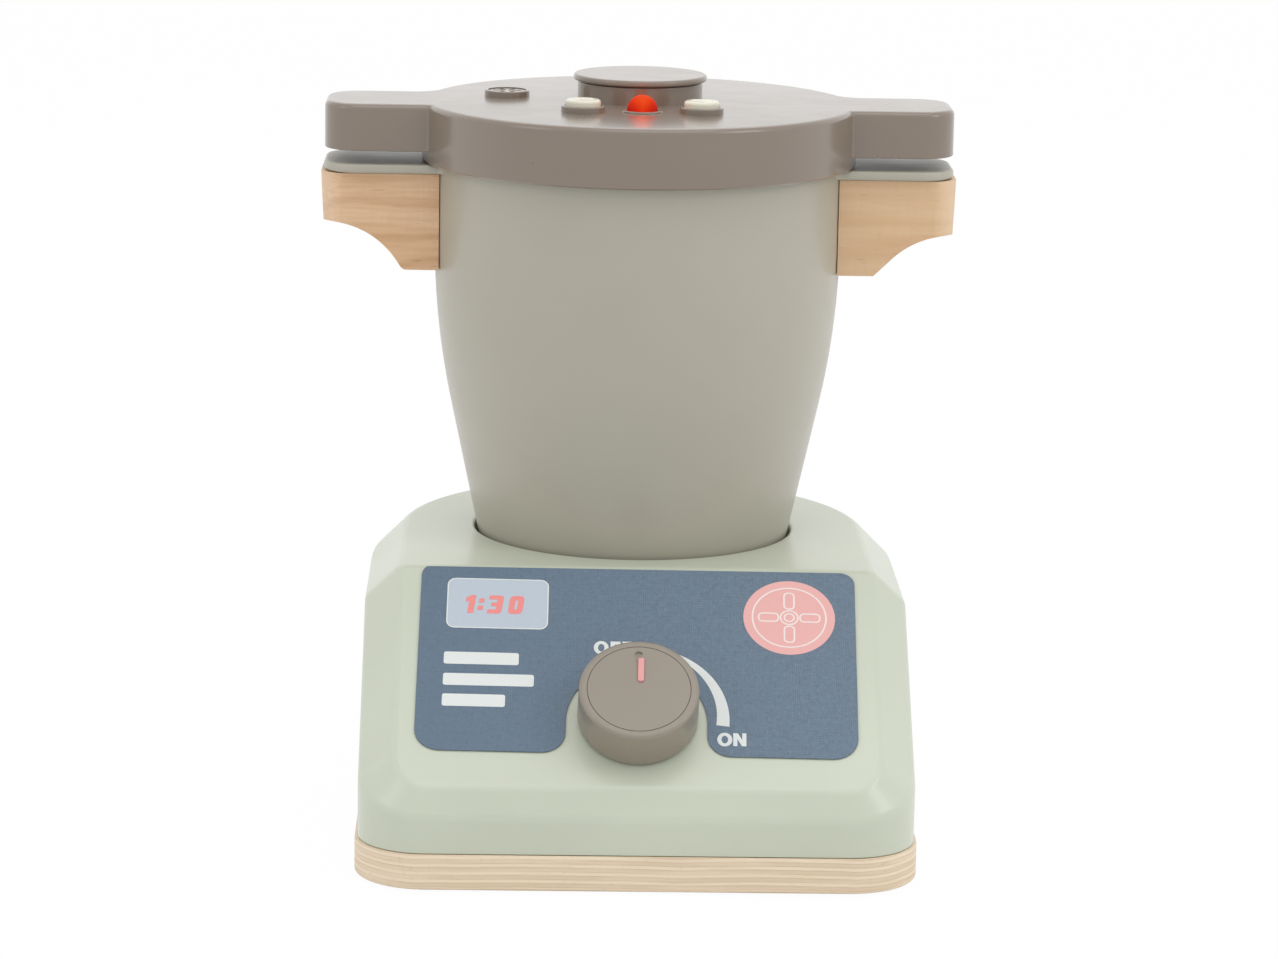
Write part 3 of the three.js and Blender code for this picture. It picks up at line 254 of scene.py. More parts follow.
def slab(outline, low, high, ease_low=0.0, ease_high=0.0, segments=5, place=None):
    """Raises an outline between two levels, with its lower and upper edges rounded."""
    outline = unique(outline)
    turns = [QUARTER * k / segments for k in range(segments + 1)]
    rings = [(0, low)]
    if ease_low:
        rings = [(ease_low * (1 - math.sin(t)), low + ease_low * (1 - math.cos(t))) for t in turns]
    if ease_high:
        rings += [(ease_high * (1 - math.cos(t)), high - ease_high * (1 - math.sin(t))) for t in turns]
    else:
        rings.append((0, high))
    verts, faces = [], []
    count = len(outline)
    for i, (shrink, level) in enumerate(rings):
        verts += [(x, y, level) for x, y in (inset(outline, shrink) if shrink else outline)]
        if i:
            faces += walls((i - 1) * count, i * count, count)
    faces.append(tuple(range(count))[::-1])
    faces.append(tuple(range(len(verts) - count, len(verts))))
    return raw("slab", verts, faces, place)


def plate(loops, low, high, place=None):
    """A thin flat piece from an outer outline and holes in it, with straight sides."""
    loops = [unique(loop) for loop in loops]
    points = [p for loop in loops for p in loop]
    count = len(points)
    verts = [(x, y, level) for level in (low, high) for x, y in points]
    faces = []
    for tri in geometry.tessellate_polygon([[Vector((*p, 0)) for p in loop] for loop in loops]):
        faces += [tuple(tri)[::-1], tuple(i + count for i in tri)]
    first = 0
    for loop in loops:
        faces += walls(first, first + count, len(loop))
        first += len(loop)
    return raw("plate", verts, faces, place)


def joined(objects):
    """Puts the meshes of several objects into the first."""
    first = objects[0]
    bm = bmesh.new()
    for obj in objects:
        bm.from_mesh(obj.data)
    bm.to_mesh(first.data)
    bm.free()
    for obj in objects[1:]:
        drop(obj)
    return first


def drop(obj):
    mesh = obj.data
    bpy.data.objects.remove(obj)
    bpy.data.meshes.remove(mesh)


def bake(obj):
    """Applies the modifiers of an object."""
    graph = bpy.context.evaluated_depsgraph_get()
    mesh = bpy.data.meshes.new_from_object(obj.evaluated_get(graph))
    obj.modifiers.clear()
    old = obj.data
    obj.data = mesh
    bpy.data.meshes.remove(old)


def boolean(obj, tools, operation="DIFFERENCE"):
    """Cuts, joins or crosses an object with others, and closes any facet that this leaves open."""
    for tool in tools:
        mod = obj.modifiers.new("boolean", "BOOLEAN")
        mod.operation = operation
        mod.solver = "EXACT"
        mod.object = tool
    bake(obj)
    for tool in tools:
        drop(tool)

    def clean(bm):
        bmesh.ops.remove_doubles(bm, verts=bm.verts, dist=MERGE)
        bmesh.ops.dissolve_degenerate(bm, edges=bm.edges, dist=DEGENERATE)
        open_edges = [e for e in bm.edges if e.is_boundary]
        if open_edges:
            bmesh.ops.holes_fill(bm, edges=open_edges, sides=12)
            bmesh.ops.recalc_face_normals(bm, faces=bm.faces)

    edit(obj, clean)


def cut(obj, *tools):
    boolean(obj, tools)


def union(obj, *tools):
    boolean(obj, tools, "UNION")


def round_edges(obj, width, chosen, segments, least=25, material=-1):
    """Rounds the edges that turn by more than an angle and whose middle a test picks."""
    def change(bm):
        edges = [
            e for e in bm.edges
            if len(e.link_faces) == 2
            and e.calc_face_angle(0) > math.radians(least)
            and chosen((e.verts[0].co + e.verts[1].co) / 2 / MM)
        ]
        bmesh.ops.bevel(
            bm, geom=edges, offset=width * MM, segments=segments, profile=0.5, affect="EDGES",
            clamp_overlap=True, material=material,
        )

    edit(obj, change)


def piece(obj, name, body, slot, material, *nodes, angle=32, arris=None):
    """Names and finishes a piece, and makes it move with its body."""
    obj.name = name
    obj.data.name = name
    obj.data.materials.clear()
    obj.data.materials.append(material)
    if arris is not None:
        obj.data.materials.append(arris)
    obj.data.shade_smooth()
    obj.data.set_sharp_from_angle(angle=math.radians(angle))
    mod = obj.modifiers.new("normals", "WEIGHTED_NORMAL")
    mod.keep_sharp = True
    mod.weight = 80
    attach(obj, body)
    if nodes:
        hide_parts(*nodes)


# Materials

def linear(rgb):
    """An 8-bit colour as the linear values that a shader takes."""
    return [((c / 255 + 0.055) / 1.055) ** 2.4 if c > 10.3 else c / 255 / 12.92 for c in rgb] + [1.0]


class Nodes:
    """An emptied node tree, and short ways to add nodes to it."""

    def __init__(self, tree):
        self.tree = tree
        tree.nodes.clear()

    def node(self, kind, **values):
        """A node with its settings, and its sockets' constants by their names."""
        node = self.tree.nodes.new(kind)
        for key, value in values.items():
            if hasattr(node, key):
                setattr(node, key, value)
            else:
                node.inputs[key.replace("_", " ")].default_value = value
        return node

    def link(self, start, end):
        self.tree.links.new(start, end)

    def feed(self, sockets, values):
        """Gives each socket its constant or its link."""
        for socket, value in zip(sockets, values):
            if isinstance(value, (int, float, list, tuple)):
                socket.default_value = value
            elif value is not None:
                self.link(value, socket)

    def place(self, turn=(0, 0, 0), scale=(1, 1, 1)):
        """Object coordinates in metres, turned and scaled."""
        mapping = self.node("ShaderNodeMapping", Rotation=turn, Scale=scale)
        self.link(self.node("ShaderNodeTexCoord").outputs["Object"], mapping.inputs["Vector"])
        return mapping.outputs["Vector"]

    def axes(self, vector):
        """The three numbers of a vector."""
        split = self.node("ShaderNodeSeparateXYZ")
        self.link(vector, split.inputs[0])
        return split.outputs

    def spot(self):
        """Object coordinates in metres, one by one."""
        return self.axes(self.node("ShaderNodeTexCoord").outputs["Object"])

    def noise(self, scale, place=None, detail=3.0, roughness=0.5, distortion=0.0):
        node = self.node("ShaderNodeTexNoise", Scale=scale, Detail=detail, Roughness=roughness,
                         Distortion=distortion)
        self.link(place if place is not None else self.place(), node.inputs["Vector"])
        return node.outputs["Fac"]

    def waves(self, place, direction, scale, distortion, detail, detail_scale):
        node = self.node("ShaderNodeTexWave", wave_type="BANDS", bands_direction=direction, Scale=scale,
                         Distortion=distortion, Detail=detail, Detail_Scale=detail_scale)
        self.link(place, node.inputs["Vector"])
        return node.outputs["Fac"]

    def span(self, value, low, high, to_low, to_high):
        node = self.node("ShaderNodeMapRange", From_Min=low, From_Max=high, To_Min=to_low, To_Max=to_high)
        self.link(value, node.inputs["Value"])
        return node.outputs["Result"]

    def math(self, operation, a, b=None):
        node = self.node("ShaderNodeMath", operation=operation)
        self.feed(node.inputs, (a, b))
        return node.outputs[0]

    def ramp(self, value, stops):
        node = self.node("ShaderNodeValToRGB")
        elements = node.color_ramp.elements
        while len(elements) < len(stops):
            elements.new(0.5)
        for element, (position, rgb) in zip(elements, stops):
            element.position = position
            element.color = linear(rgb)
        self.link(value, node.inputs["Fac"])
        return node.outputs["Color"]

    def mix(self, factor, a, b):
        node = self.node("ShaderNodeMix", data_type="RGBA")
        self.feed([node.inputs[key] for key in ("Factor", "A", "B")], (factor, a, b))
        return node.outputs["Result"]

    def vary(self, value, rgb, share, low=0.3, high=0.7):
        """A colour from a little darker to a little lighter, as a value rises."""
        darker, lighter = [c * (1 - share) for c in rgb], [min(255, c * (1 + share)) for c in rgb]
        return self.ramp(value, [(low, darker), (high, lighter)])

    def stain(self, tone, value, low, high, share, rgb):
        """Mixes a colour into a tone, the more the higher a value lies between two levels."""
        return self.mix(self.span(value, low, high, 0.0, share), tone, linear(rgb))

    def stretched(self, scale, stretch, **look):
        return self.noise(scale, self.place(scale=stretch), **look)


class Paint(Nodes):
    """A material with a Principled shader."""

    def __init__(self, name, roughness, **sockets):
        self.material = bpy.data.materials.new(name)
        self.material.use_nodes = True
        super().__init__(self.material.node_tree)
        self.out = self.node("ShaderNodeOutputMaterial")
        self.shader = self.node("ShaderNodeBsdfPrincipled", Roughness=roughness, **sockets)
        self.link(self.shader.outputs[0], self.out.inputs["Surface"])

    def colour(self, value):
        self.link(value, self.shader.inputs["Base Color"])

    def rough(self, value, least, most):
        self.link(self.span(value, 0.3, 0.7, least, most), self.shader.inputs["Roughness"])

    def bump(self, value, strength, distance):
        node = self.node("ShaderNodeBump", Strength=strength, Distance=distance * MM)
        self.link(value, node.inputs["Height"])
        self.link(node.outputs["Normal"], self.shader.inputs["Normal"])


def plastic(name, rgb, roughness=0.35, vary=0.015, grain=1800, grain_height=0.012, skin=0.0):
    """Moulded plastic: slow changes of tone and gloss, and the mould's fine grain under a smooth skin."""
    paint = Paint(name, roughness, Coat_Weight=skin, Coat_Roughness=0.16)
    paint.colour(paint.vary(paint.noise(scale=14, detail=4), rgb, vary))
    paint.rough(paint.noise(scale=60, detail=5), roughness - 0.03, roughness + 0.04)
    paint.bump(paint.noise(grain, detail=2), 0.25, grain_height)
    return paint.material


def metal(name, rgb, roughness=0.28):
    """Plated metal with fine drawn lines."""
    paint = Paint(name, roughness, Metallic=1.0)
    paint.colour(paint.vary(paint.noise(scale=260, detail=4), rgb, 0.06))
    paint.rough(paint.noise(scale=500), roughness - 0.06, roughness + 0.1)
    paint.bump(paint.noise(scale=2400, detail=2), 0.2, 0.01)
    return paint.material


def beech(name, tones, deep, calm=1.0):
    """Pale wood with the grain along X: soft wavy bands, fine lines, faint rays and a few short flecks."""
    paint = Paint(name, 0.5, Specular_IOR_Level=0.35)
    bands = paint.stretched(13, (0.8, 3.0, 5.0), detail=4, distortion=0.9)
    tone = paint.ramp(bands, list(zip((0.28, 0.44, 0.56, 0.74), tones)))
    waves = paint.waves(paint.place(scale=(0.35, 0.5, 1.0)), "Z", 26.0, 9.0, 4.0, 0.9)
    tone = paint.stain(tone, waves, 0.72, 1.0, 0.34 * calm, deep)
    lines = paint.stretched(75, (0.5, 9.0, 9.0), detail=4)
    tone = paint.stain(tone, lines, 0.4, 0.72, 0.3 * calm, deep)
    tone = paint.stain(tone, paint.stretched(110, (7.0, 7.0, 0.7)), 0.42, 0.72, 0.34, tones[3])
    flecks = paint.stretched(300, (0.5, 5.0, 5.0), detail=1)
    tone = paint.stain(tone, flecks, 0.68, 0.78, 0.35, [c * 0.8 for c in deep])
    # Painted sheen: the wood turns paler and greyer where the grip's end rounds off, standing in for its
    # reflection.
    sheen_start, sheen_full = 0.1025, 0.1085
    out = paint.math("ABSOLUTE", paint.spot()["X"])
    paint.colour(paint.stain(tone, out, sheen_start, sheen_full, 0.4, (226, 204, 180)))
    paint.rough(lines, 0.44, 0.6)
    paint.bump(lines, 0.15, 0.04)
    return paint.material


def plywood(name):
    """Birch plywood: nine plies of turned grain, which show at its edge, and its face veneer."""
    paint = Paint(name, 0.55, Specular_IOR_Level=0.35)
    plies, before_glue, after_glue, ply_end = 9, 0.002, 0.012, 0.085
    pale, deep, glue = (235, 218, 193), (221, 202, 175), (205, 183, 155)
    wobble = paint.stretched(16, (1, 1, 0.2), detail=5, roughness=0.6)
    shift = paint.math("MULTIPLY", paint.math("SUBTRACT", wobble, 0.5), 0.0022)
    level = paint.math("ADD", paint.spot()["Z"], shift)
    stops = []
    for ply in range(plies):
        rgb = deep if ply % 2 else pale
        if ply:
            stops.append((ply / plies - before_glue, glue))
        stops += [(ply / plies + after_glue, rgb), (ply / plies + ply_end, rgb)]
    tone = paint.ramp(paint.span(level, PLATE_LOW * MM, PLATE_HIGH * MM, 0.0, 1.0), stops)
    streak = paint.stretched(80, (0.8, 0.8, 12), detail=4, roughness=0.6)
    tone = paint.stain(tone, streak, 0.42, 0.72, 0.4, (216, 194, 164))
    tone = paint.stain(tone, paint.stretched(30, (1, 1, 14)), 0.46, 0.66, 0.5, (236, 218, 194))
    pores = paint.stretched(650, (0.8, 0.8, 1.5), detail=2)
    tone = paint.stain(tone, pores, 0.62, 0.74, 0.25, (186, 160, 130))
    # Painted shade: dark lines along the plate's bottom edge, by the floor, and along its top edge, under the
    # housing.
    shade_low_rim = paint.span(level, 0.0010, 0.0017, 0.45, 0.0)
    shade_high_rim = paint.span(level, 0.0125, 0.0130, 0.0, 0.5)
    tone = paint.mix(paint.math("MAXIMUM", shade_low_rim, shade_high_rim), tone, linear((176, 142, 110)))
    face = paint.stretched(12, (1.0, 8.0, 1.0), detail=5, distortion=0.8)
    veneer = paint.ramp(face, [(0.3, (228, 208, 178)), (0.7, (240, 224, 198))])
    tilt = paint.axes(paint.node("ShaderNodeNewGeometry").outputs["Normal"])
    flat = paint.span(paint.math("ABSOLUTE", tilt["Z"]), 0.9, 0.98, 0.0, 1.0)
    paint.colour(paint.mix(flat, tone, veneer))
    paint.rough(streak, 0.48, 0.62)
    paint.bump(streak, 0.2, 0.06)
    return paint.material


def film(name, rgb, weave=0.01, drift=0.0):
    """Printed film with the fine woven look of its stock, along and across the panel."""
    paint = Paint(name, 0.45)
    lie = paint.place(turn=(-SLOPE, 0, 0))
    threads = [paint.waves(lie, direction, 430.0, 4.5, 3.0, 3.0) for direction in "XY"]
    cloth = paint.math("MULTIPLY", paint.math("MULTIPLY", *threads), 0.5)
    speck = paint.math("MULTIPLY", paint.noise(620, lie, detail=2), 0.6)
    total = paint.math("ADD", cloth, speck)
    tone = paint.vary(total, rgb, weave, 0.2, 0.8)
    if drift:
        red, green, blue = rgb
        slow = paint.noise(430, lie, roughness=0.7)
        tone = paint.stain(tone, slow, 0.42, 0.62, 0.6, (red * (1 - drift), green, blue * (1 + drift / 2)))
        # Painted shade: the film's colour darkens toward its left end, standing in for the weaker light that
        # falls there.
        left, centre, most = -0.07, 0.01, 0.5
        painted_shade_left = paint.span(paint.axes(lie)["X"], left, centre, most, 0.0)
        tone = paint.mix(painted_shade_left, tone, linear((red * 0.82, green * 0.88, blue * 0.92)))
    paint.colour(tone)
    paint.bump(total, 0.15, 0.025)
    return paint.material


def lens_red():
    """The lit lens: brightest over its diode, redder toward its rim."""
    paint = Paint("lens_red", 0.7, Specular_IOR_Level=0.08, Emission_Strength=1.0)
    paint.shader.inputs["Base Color"].default_value = linear((60, 4, 2))
    spot = paint.spot()
    foot, tip, radius, mottle = 0.2445, 0.2495, 0.0052, 0.12
    high = paint.span(spot["Z"], foot, tip, 0.0, 1.0)
    middle = paint.span(paint.math("ABSOLUTE", spot["X"]), 0.0, radius, 1.0, 0.0)
    heart = paint.math("MULTIPLY", paint.math("ADD", high, middle), 0.5)
    heart = paint.math("ADD", heart, paint.math("MULTIPLY", paint.noise(scale=420, detail=2), mottle))
    glow = paint.ramp(heart, [(0.1, (150, 16, 8)), (0.5, (206, 40, 9)), (0.95, (233, 72, 19))])
    paint.link(glow, paint.shader.inputs["Emission Color"])
    return paint.material


BEECH_LEFT = ((227, 188, 149), (218, 180, 143), (226, 192, 158), (212, 172, 132))
BEECH_RIGHT = ((220, 184, 145), (216, 181, 143), (220, 188, 152), (212, 175, 137))
BEECH_ARRIS = ((212, 166, 122), (206, 160, 118), (212, 170, 130), (200, 152, 108))
mint = plastic("mint_plastic", (195, 201, 183), 0.36, skin=0.35)
pot_paint = plastic("pot_plastic", (171, 167, 153), 0.38, skin=0.2)
taupe = plastic("taupe_plastic", (125, 112, 99), 0.3, skin=0.75)
knob_paint = plastic("knob_plastic", (141, 132, 119), 0.36, skin=0.3)
white = plastic("white_plastic", (219, 215, 196), 0.25, skin=0.5)
pink = plastic("pink_plastic", (222, 156, 154), 0.4)
dark = plastic("dark_plastic", (52, 53, 55), 0.45)
rubber = plastic("rubber", (86, 88, 91), 0.75, vary=0.05, grain=900, grain_height=0.04)
steel = metal("steel", (190, 191, 193))
nickel = metal("nickel", (198, 194, 186), 0.22)
beech_left = beech("beech_left", BEECH_LEFT, (188, 142, 102), calm=1.2)
beech_right = beech("beech_right", BEECH_RIGHT, (198, 156, 116), calm=0.5)
beech_arris = beech("beech_arris", BEECH_ARRIS, (182, 134, 92))
ply = plywood("plywood")
blue_film = film("printed_film", (97, 116, 134), weave=0.13, drift=0.025)
display_print = film("display_print", (183, 194, 206))
white_print = film("white_print", (221, 225, 223))
pink_print = film("pink_print", (229, 172, 168))
digit_print = film("digit_print", (234, 138, 134))
ring_print = film("ring_print", (236, 224, 220))
sleeve = plastic("cell_sleeve", (60, 94, 145), 0.3, vary=0.04)
board_green = plastic("board_green", (44, 104, 66), 0.3, vary=0.08)
red_wire = plastic("red_wire", (176, 48, 42), 0.4)
black_wire = plastic("black_wire", (38, 39, 41), 0.4)
seam = plastic("seam", (128, 104, 100), 0.6)
red_glow = lens_red()


# Base

def base_outline(growth):
    half = BASE_HALF + growth
    front = -BASE_FRONT - growth
    corner = FRONT_CORNER + growth
    return shifted([
        *arc(0, 0, half, 0, math.pi, 96),
        *arc(corner - half, front + corner, corner, math.pi, 3 * QUARTER, 24),
        *arc(half - corner, front + corner, corner, 3 * QUARTER, TURN, 24),
    ])


def housing_form(shrink, bottom):
    """The housing's outer form, or the hollow inside it, as walls, a chamfer, a panel and a plateau."""
    half, front, corner = BASE_HALF - shrink, shrink - BASE_FRONT, FRONT_CORNER - shrink
    top, ease = PLATEAU - shrink, CHAMFER - shrink * (2 - math.sqrt(2))
    edge = shrink * math.tan(SLOPE / 2) - PLATEAU_FRONT
    crease_y = edge + ease * math.tan(SLOPE / 2)
    stations = []

    def bend(x, y, radius, start, end, steps):
        for nx, ny in arc(0, 0, 1, start, end, steps):
            px, py = x + radius * nx, y + radius * ny
            ball_x, ball_y, ball_z = px - ease * nx, py - ease * ny, top - ease
            brow = (ball_x, ball_y, top)
            if ball_y < crease_y:
                ball_z = top - math.tan(SLOPE) * (edge - ball_y) - ease / math.cos(SLOPE)
                brow = (ball_x, ball_y - ease * math.sin(SLOPE), ball_z + ease * math.cos(SLOPE))
            stations.append(((px, py, bottom), (px, py, ball_z), brow))

    def crease(x, brow_x):
        stations.append(((x, crease_y, bottom), (x, crease_y, top - ease), (brow_x, edge, top)))
        return len(stations) - 1

    bend(half - corner, front + corner, corner, -QUARTER, 0, 24)
    right = crease(half, half - ease)
    bend(0, 0, half, 0, math.pi, 96)
    left = crease(-half, ease - half)
    bend(corner - half, front + corner, corner, math.pi, 3 * QUARTER, 24)
    count = len(stations)
    faces = [face for pair in zip(walls(0, count, count), walls(count, 2 * count, count)) for face in pair]
    faces.append(tuple(range(count))[::-1])
    faces.append(tuple(2 * count + i for i in range(right, left + 1)))
    faces.append(tuple(2 * count + i % count for i in range(left, count + right + 1)))
    return raw("housing_form", [(x, y + AXIS, z) for ring in zip(*stations) for x, y, z in ring], faces)


BOW_LOW = BOW_TOP - BOW * math.sin(TAPER)


def pot_radius(level):
    """The pot's outer radius: a cone below, then a bow, then upright."""
    if level < BOW_LOW:
        return POT_RADIUS - BOW * (1 - math.cos(TAPER)) - math.tan(TAPER) * (BOW_LOW - level)
    if level > BOW_TOP:
        return POT_RADIUS
    return POT_RADIUS - BOW + math.sqrt(BOW ** 2 - (BOW_TOP - level) ** 2)


PANEL_AT = (0, AXIS - PLATEAU_FRONT - KNOB_DROP * math.cos(SLOPE), PLATEAU - KNOB_DROP * math.sin(SLOPE))
PANEL = move(*PANEL_AT) @ spin(SLOPE, "X")
WELL_MOUTH = pot_radius(PLATEAU) + 1
WELL_FOOT = pot_radius(WELL_FLOOR) + 1


def well_room():
    foot_round, chord, over = 2, 0.6, 2
    return lathe([
        (0, WELL_FLOOR), (WELL_FOOT - foot_round, WELL_FLOOR), (WELL_FOOT - chord, WELL_FLOOR + chord),
        (WELL_FOOT, WELL_FLOOR + foot_round), (WELL_MOUTH + over * math.tan(TAPER), PLATEAU + over),
        (0, PLATEAU + over),
    ], MIDDLE, 192)


def housing():
    near, post_radius, screw_end = 0.2, 5, 26
    body = housing_form(0, HOUSING_LOW)
    round_edges(body, CREASE, lambda p: p.z > HOUSING_LOW + OVER, segments=5, least=12)
    hollow = housing_form(WALL, HOUSING_LOW - OVER)
    posts = [rod(post_radius, HOUSING_LOW - 2 * OVER, PLATEAU, spot, 40) for spot in BASE_SCREWS]
    spring_post = rod(radius=4, low=-6.1, high=2, at=(20, -16), steps=40, place=PANEL)
    cut(hollow, *posts, spring_post)
    pilots = [rod(SCREW_HOLE, HOUSING_LOW - OVER, screw_end, spot, 32) for spot in BASE_SCREWS]
    bush_hole = rod(radius=6.0, low=-5, high=4, steps=48, place=PANEL)
    cut(body, hollow, well_room(), *pilots, bush_hole)

    def at_mouth(p):
        return p.z > PLATEAU - near and abs(off_axis(p) - WELL_MOUTH) < 2 * near

    def at_foot(p):
        outside = abs(p.x) > BASE_HALF - near / 2 or p.y < AXIS - BASE_FRONT + near / 2
        return abs(p.z - HOUSING_LOW) < near / 4 and (outside or off_axis(p) > BASE_HALF - near)

    round_edges(body, 1.1, at_mouth, segments=4)
    round_edges(body, 0.5, at_foot, segments=3)
    piece(body, "housing", "base", "mint_plastic", mint, "base_housing", angle=28)


def well():
    """The cup that the pot stands in, held by its flange under the plateau."""
    flange_top = PLATEAU - WALL - GAP
    flange_low = flange_top - WALL
    foot, neck, rim = WELL_FOOT + WALL, pot_radius(flange_low) + 1 + WALL, WELL_MOUTH + 8
    body = lathe(eased([
        (0, WELL_FLOOR - WALL), (foot, WELL_FLOOR - WALL, 3), (neck, flange_low, 1.5),
        (rim, flange_low, 0.5), (rim, flange_top, 0.3), (0, flange_top),
    ]), MIDDLE, 192)
    cut(body, well_room())
    piece(body, "well", "base", "mint_plastic", mint, "base_well", angle=28)


def base_board():
    head_hole, head_room, past_housing, holes = 3.9, 5, 1, []
    body = slab(base_outline(past_housing), PLATE_LOW, PLATE_HIGH, ease_low=1.2, ease_high=0.6, segments=4)
    for spot in BASE_SCREWS:
        holes.append(rod(SCREW_HOLE, 0, PLATE_HIGH + OVER, spot, 32))
        holes.append(rod(head_hole, 0, PLATE_LOW + head_room, spot, 40))
    cut(body, *holes)
    piece(body, "plywood_plate", "base", "plywood", ply, "base_plate", angle=28)


def foot_pads():
    inward, radius, height = 17, 8, 0.7
    profile = eased([(0, 0), (radius, 0, 0.25), (radius, height), (0, height)], 3)
    for i, (x, y) in enumerate(BASE_SCREWS, 1):
        pad = lathe(profile, (x - math.copysign(inward, x), y), 64)
        piece(pad, f"pad_{i}", "base", "rubber", rubber, f"foot_pad_{i}")


def screw(node, body, head_radius, head_height, shank_radius, sideways=False):
    """A pan-head screw with a cross recess. Its head is below, or sideways against the pot's wall."""
    low, high = (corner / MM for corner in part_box(node))
    centre = (low + high) / 2
    side = math.copysign(1, centre.x)
    if sideways:
        reach = high.x - low.x
        seat = (low.x if side > 0 else high.x) + side * head_height
        place = move(seat, centre.y, centre.z) @ spin(side * QUARTER, "Y")
    else:
        reach = high.z - low.z
        place = move(centre.x, centre.y, low.z + head_height)
    length = reach - head_height
    tip_share, dome_share, arm_share, arm_width_share, depth_share = 0.6, 0.55, 0.62, 0.2, 0.6
    obj = lathe(eased([
        (0, length), (shank_radius * tip_share, length, 0.1), (shank_radius, length - 1), (shank_radius, 0),
        (head_radius, 0, 0.15), (head_radius, -head_height, head_height * dome_share), (0, -head_height),
    ], 4), steps=48)
    across, width = 2 * head_radius * arm_share, head_radius * arm_width_share
    recess, wing = (
        slab(rounded_box(*size, 0.1, steps=2), -head_height - 0.5, head_height * depth_share - head_height)
        for size in ((across, width), (width, across))
    )
    union(recess, wing)
    cut(obj, recess)
    stopped_at = 0.3 + 1.7 * (centre.x + 2 * centre.y + centre.z)
    obj.data.transform(place @ spin(stopped_at, "Z"))
    piece(obj, f"{node}_visual", body, "steel", steel, node)


# The label and its print, a little askew, with marks placed across and down from the panel's top middle

LEAN = math.radians(-0.9)
FILM_LOW, FILM_TOP, LABEL_MIDDLE = 0.3, 0.6, 23
PRINT_LOW, PRINT_HIGH, FINE_PRINT_HIGH = 0.56, 0.64, 0.7
DISPLAY, DISPLAY_CORNER, DISPLAY_RIM = (-64.2, 6, -29.9, 27), 2.8, 0.4
TEXT_BARS = ((-64.8, 37.0, -39.7, 42.0), (-64.9, 45.9, -34.6, 50.8), (-65.1, 54.3, -44.1, 59.3))
WORDS = (("O", -14.6, 31.9), ("F", -9.0, 31.9), ("F", -5.0, 31.9), ("O", 26.2, 69.1), ("N", 31.5, 69.1))
LETTER_HEIGHT, LETTER_WIDTH = 5.2, 0.87
DIGIT_HEIGHT, DIGIT_TOP, DIGIT_SLANT = 7.6, 13.1, 0.12
PINK_AT, PINK_RADIUS = (51.4, 21.0), 15.5


def boxed(left, top, right, bottom, corner):
    return rounded_box(right - left, bottom - top, corner, (left + right) / 2, (top + bottom) / 2, 4)


# Heavy letters on a grid one unit high, with Y down, as an outline and the holes in it
LETTERS = {
    "O": [ellipse(0.55, 0.5, 0.55, 0.53), ellipse(0.55, 0.5, 0.24, 0.3)],
    "F": [[(0, 0), (0.74, 0), (0.74, 0.24), (0.33, 0.24), (0.33, 0.41), (0.68, 0.41), (0.68, 0.64),
           (0.33, 0.64), (0.33, 1), (0, 1)]],
    "N": [[(0, 0), (0.34, 0), (0.66, 0.52), (0.66, 0), (0.96, 0), (0.96, 1), (0.64, 1), (0.3, 0.45),
           (0.3, 1), (0, 1)]],
}
# Heavy digits on the same grid, 0.64 wide
DIGITS = {
    "1": [eased([(0.1, 0.14, 0.04), (0.34, 0, 0.04), (0.52, 0, 0.05), (0.52, 1, 0.05), (0.25, 1, 0.05),
                 (0.25, 0.32), (0.1, 0.4, 0.04)], 3)],
    "3": [eased([(0, 0, 0.06), (0.64, 0, 0.16), (0.64, 0.5, 0.02), (0.64, 1, 0.16), (0, 1, 0.06),
                 (0, 0.78, 0.05), (0.37, 0.78), (0.37, 0.6), (0.12, 0.6, 0.05), (0.12, 0.4, 0.05),
                 (0.37, 0.4), (0.37, 0.22), (0, 0.22, 0.05)], 4)],
    "0": [boxed(0, 0, 0.64, 1, 0.2), boxed(0.26, 0.24, 0.38, 0.76, 0.05)],
    "upper dot": [boxed(0.2, 0.18, 0.44, 0.42, 0.06)],
    "lower dot": [boxed(0.2, 0.58, 0.44, 0.82, 0.06)],
}
READOUT = (("1", -59.2), ("upper dot", -55.6), ("lower dot", -55.6), ("3", -50.7), ("0", -43.7))


def label_outline():
    """The film's edge in the panel's frame, with its arch round the knob."""
    half, top, bottom = 73.5, KNOB_DROP - 0.6, KNOB_DROP - 78.0
    upper, lower, cheek, arch, arch_y = 5, 8.5, 8, 23.5, KNOB_DROP - 65.0
    inner, outer = arch + cheek, half - lower
    above = arc(half - upper, top - upper, upper, 0, QUARTER, 8)
    below = [
        *arc(inner, bottom + cheek, cheek, math.pi, 3 * QUARTER, 10),
        *arc(outer, bottom + lower, lower, 3 * QUARTER, TURN, 10),
    ]
    return [*above, *mirrored(above), *mirrored(below), *arc(0, arch_y, arch, math.pi, 0, 48), *below]


def on_label(loops, high=PRINT_HIGH, about=None):
    """A printed mark, turned about its own middle or about a point across and down."""
    if about is None:
        across, down = zip(*loops[0])
        about = ((min(across) + max(across)) / 2, (min(down) + max(down)) / 2)
    x, y = about[0], KNOB_DROP - about[1]
    flipped = [[(a, KNOB_DROP - b) for a, b in loop] for loop in loops]
    return plate(flipped, PRINT_LOW, high, PANEL @ move(x, y) @ spin(LEAN, "Z") @ move(-x, -y))


def grown(shape, x, y, height, width=1.0, slant=0.0):
    return [[(x + (width * a + slant * (1 - b)) * height, y + b * height) for a, b in loop] for loop in shape]


def sweep_mark():
    """A band round the knob from OFF to ON that widens from a point."""
    first, sweep, centre, steps = 5, 92, 62.5, 40
    radius, drift, half_width, growth = 27.9, 0.7, 2.2, 0.75
    edges = []
    for side in (1, -1):
        edge = []
        for i in range(steps + 1):
            share = i / steps
            angle = math.radians(first + sweep * share)
            reach = radius + drift * share + side * half_width * share ** growth
            edge.append((reach * math.sin(angle), centre - reach * math.cos(angle)))
        edges.append(edge)
    return edges[0] + edges[1][:0:-1]


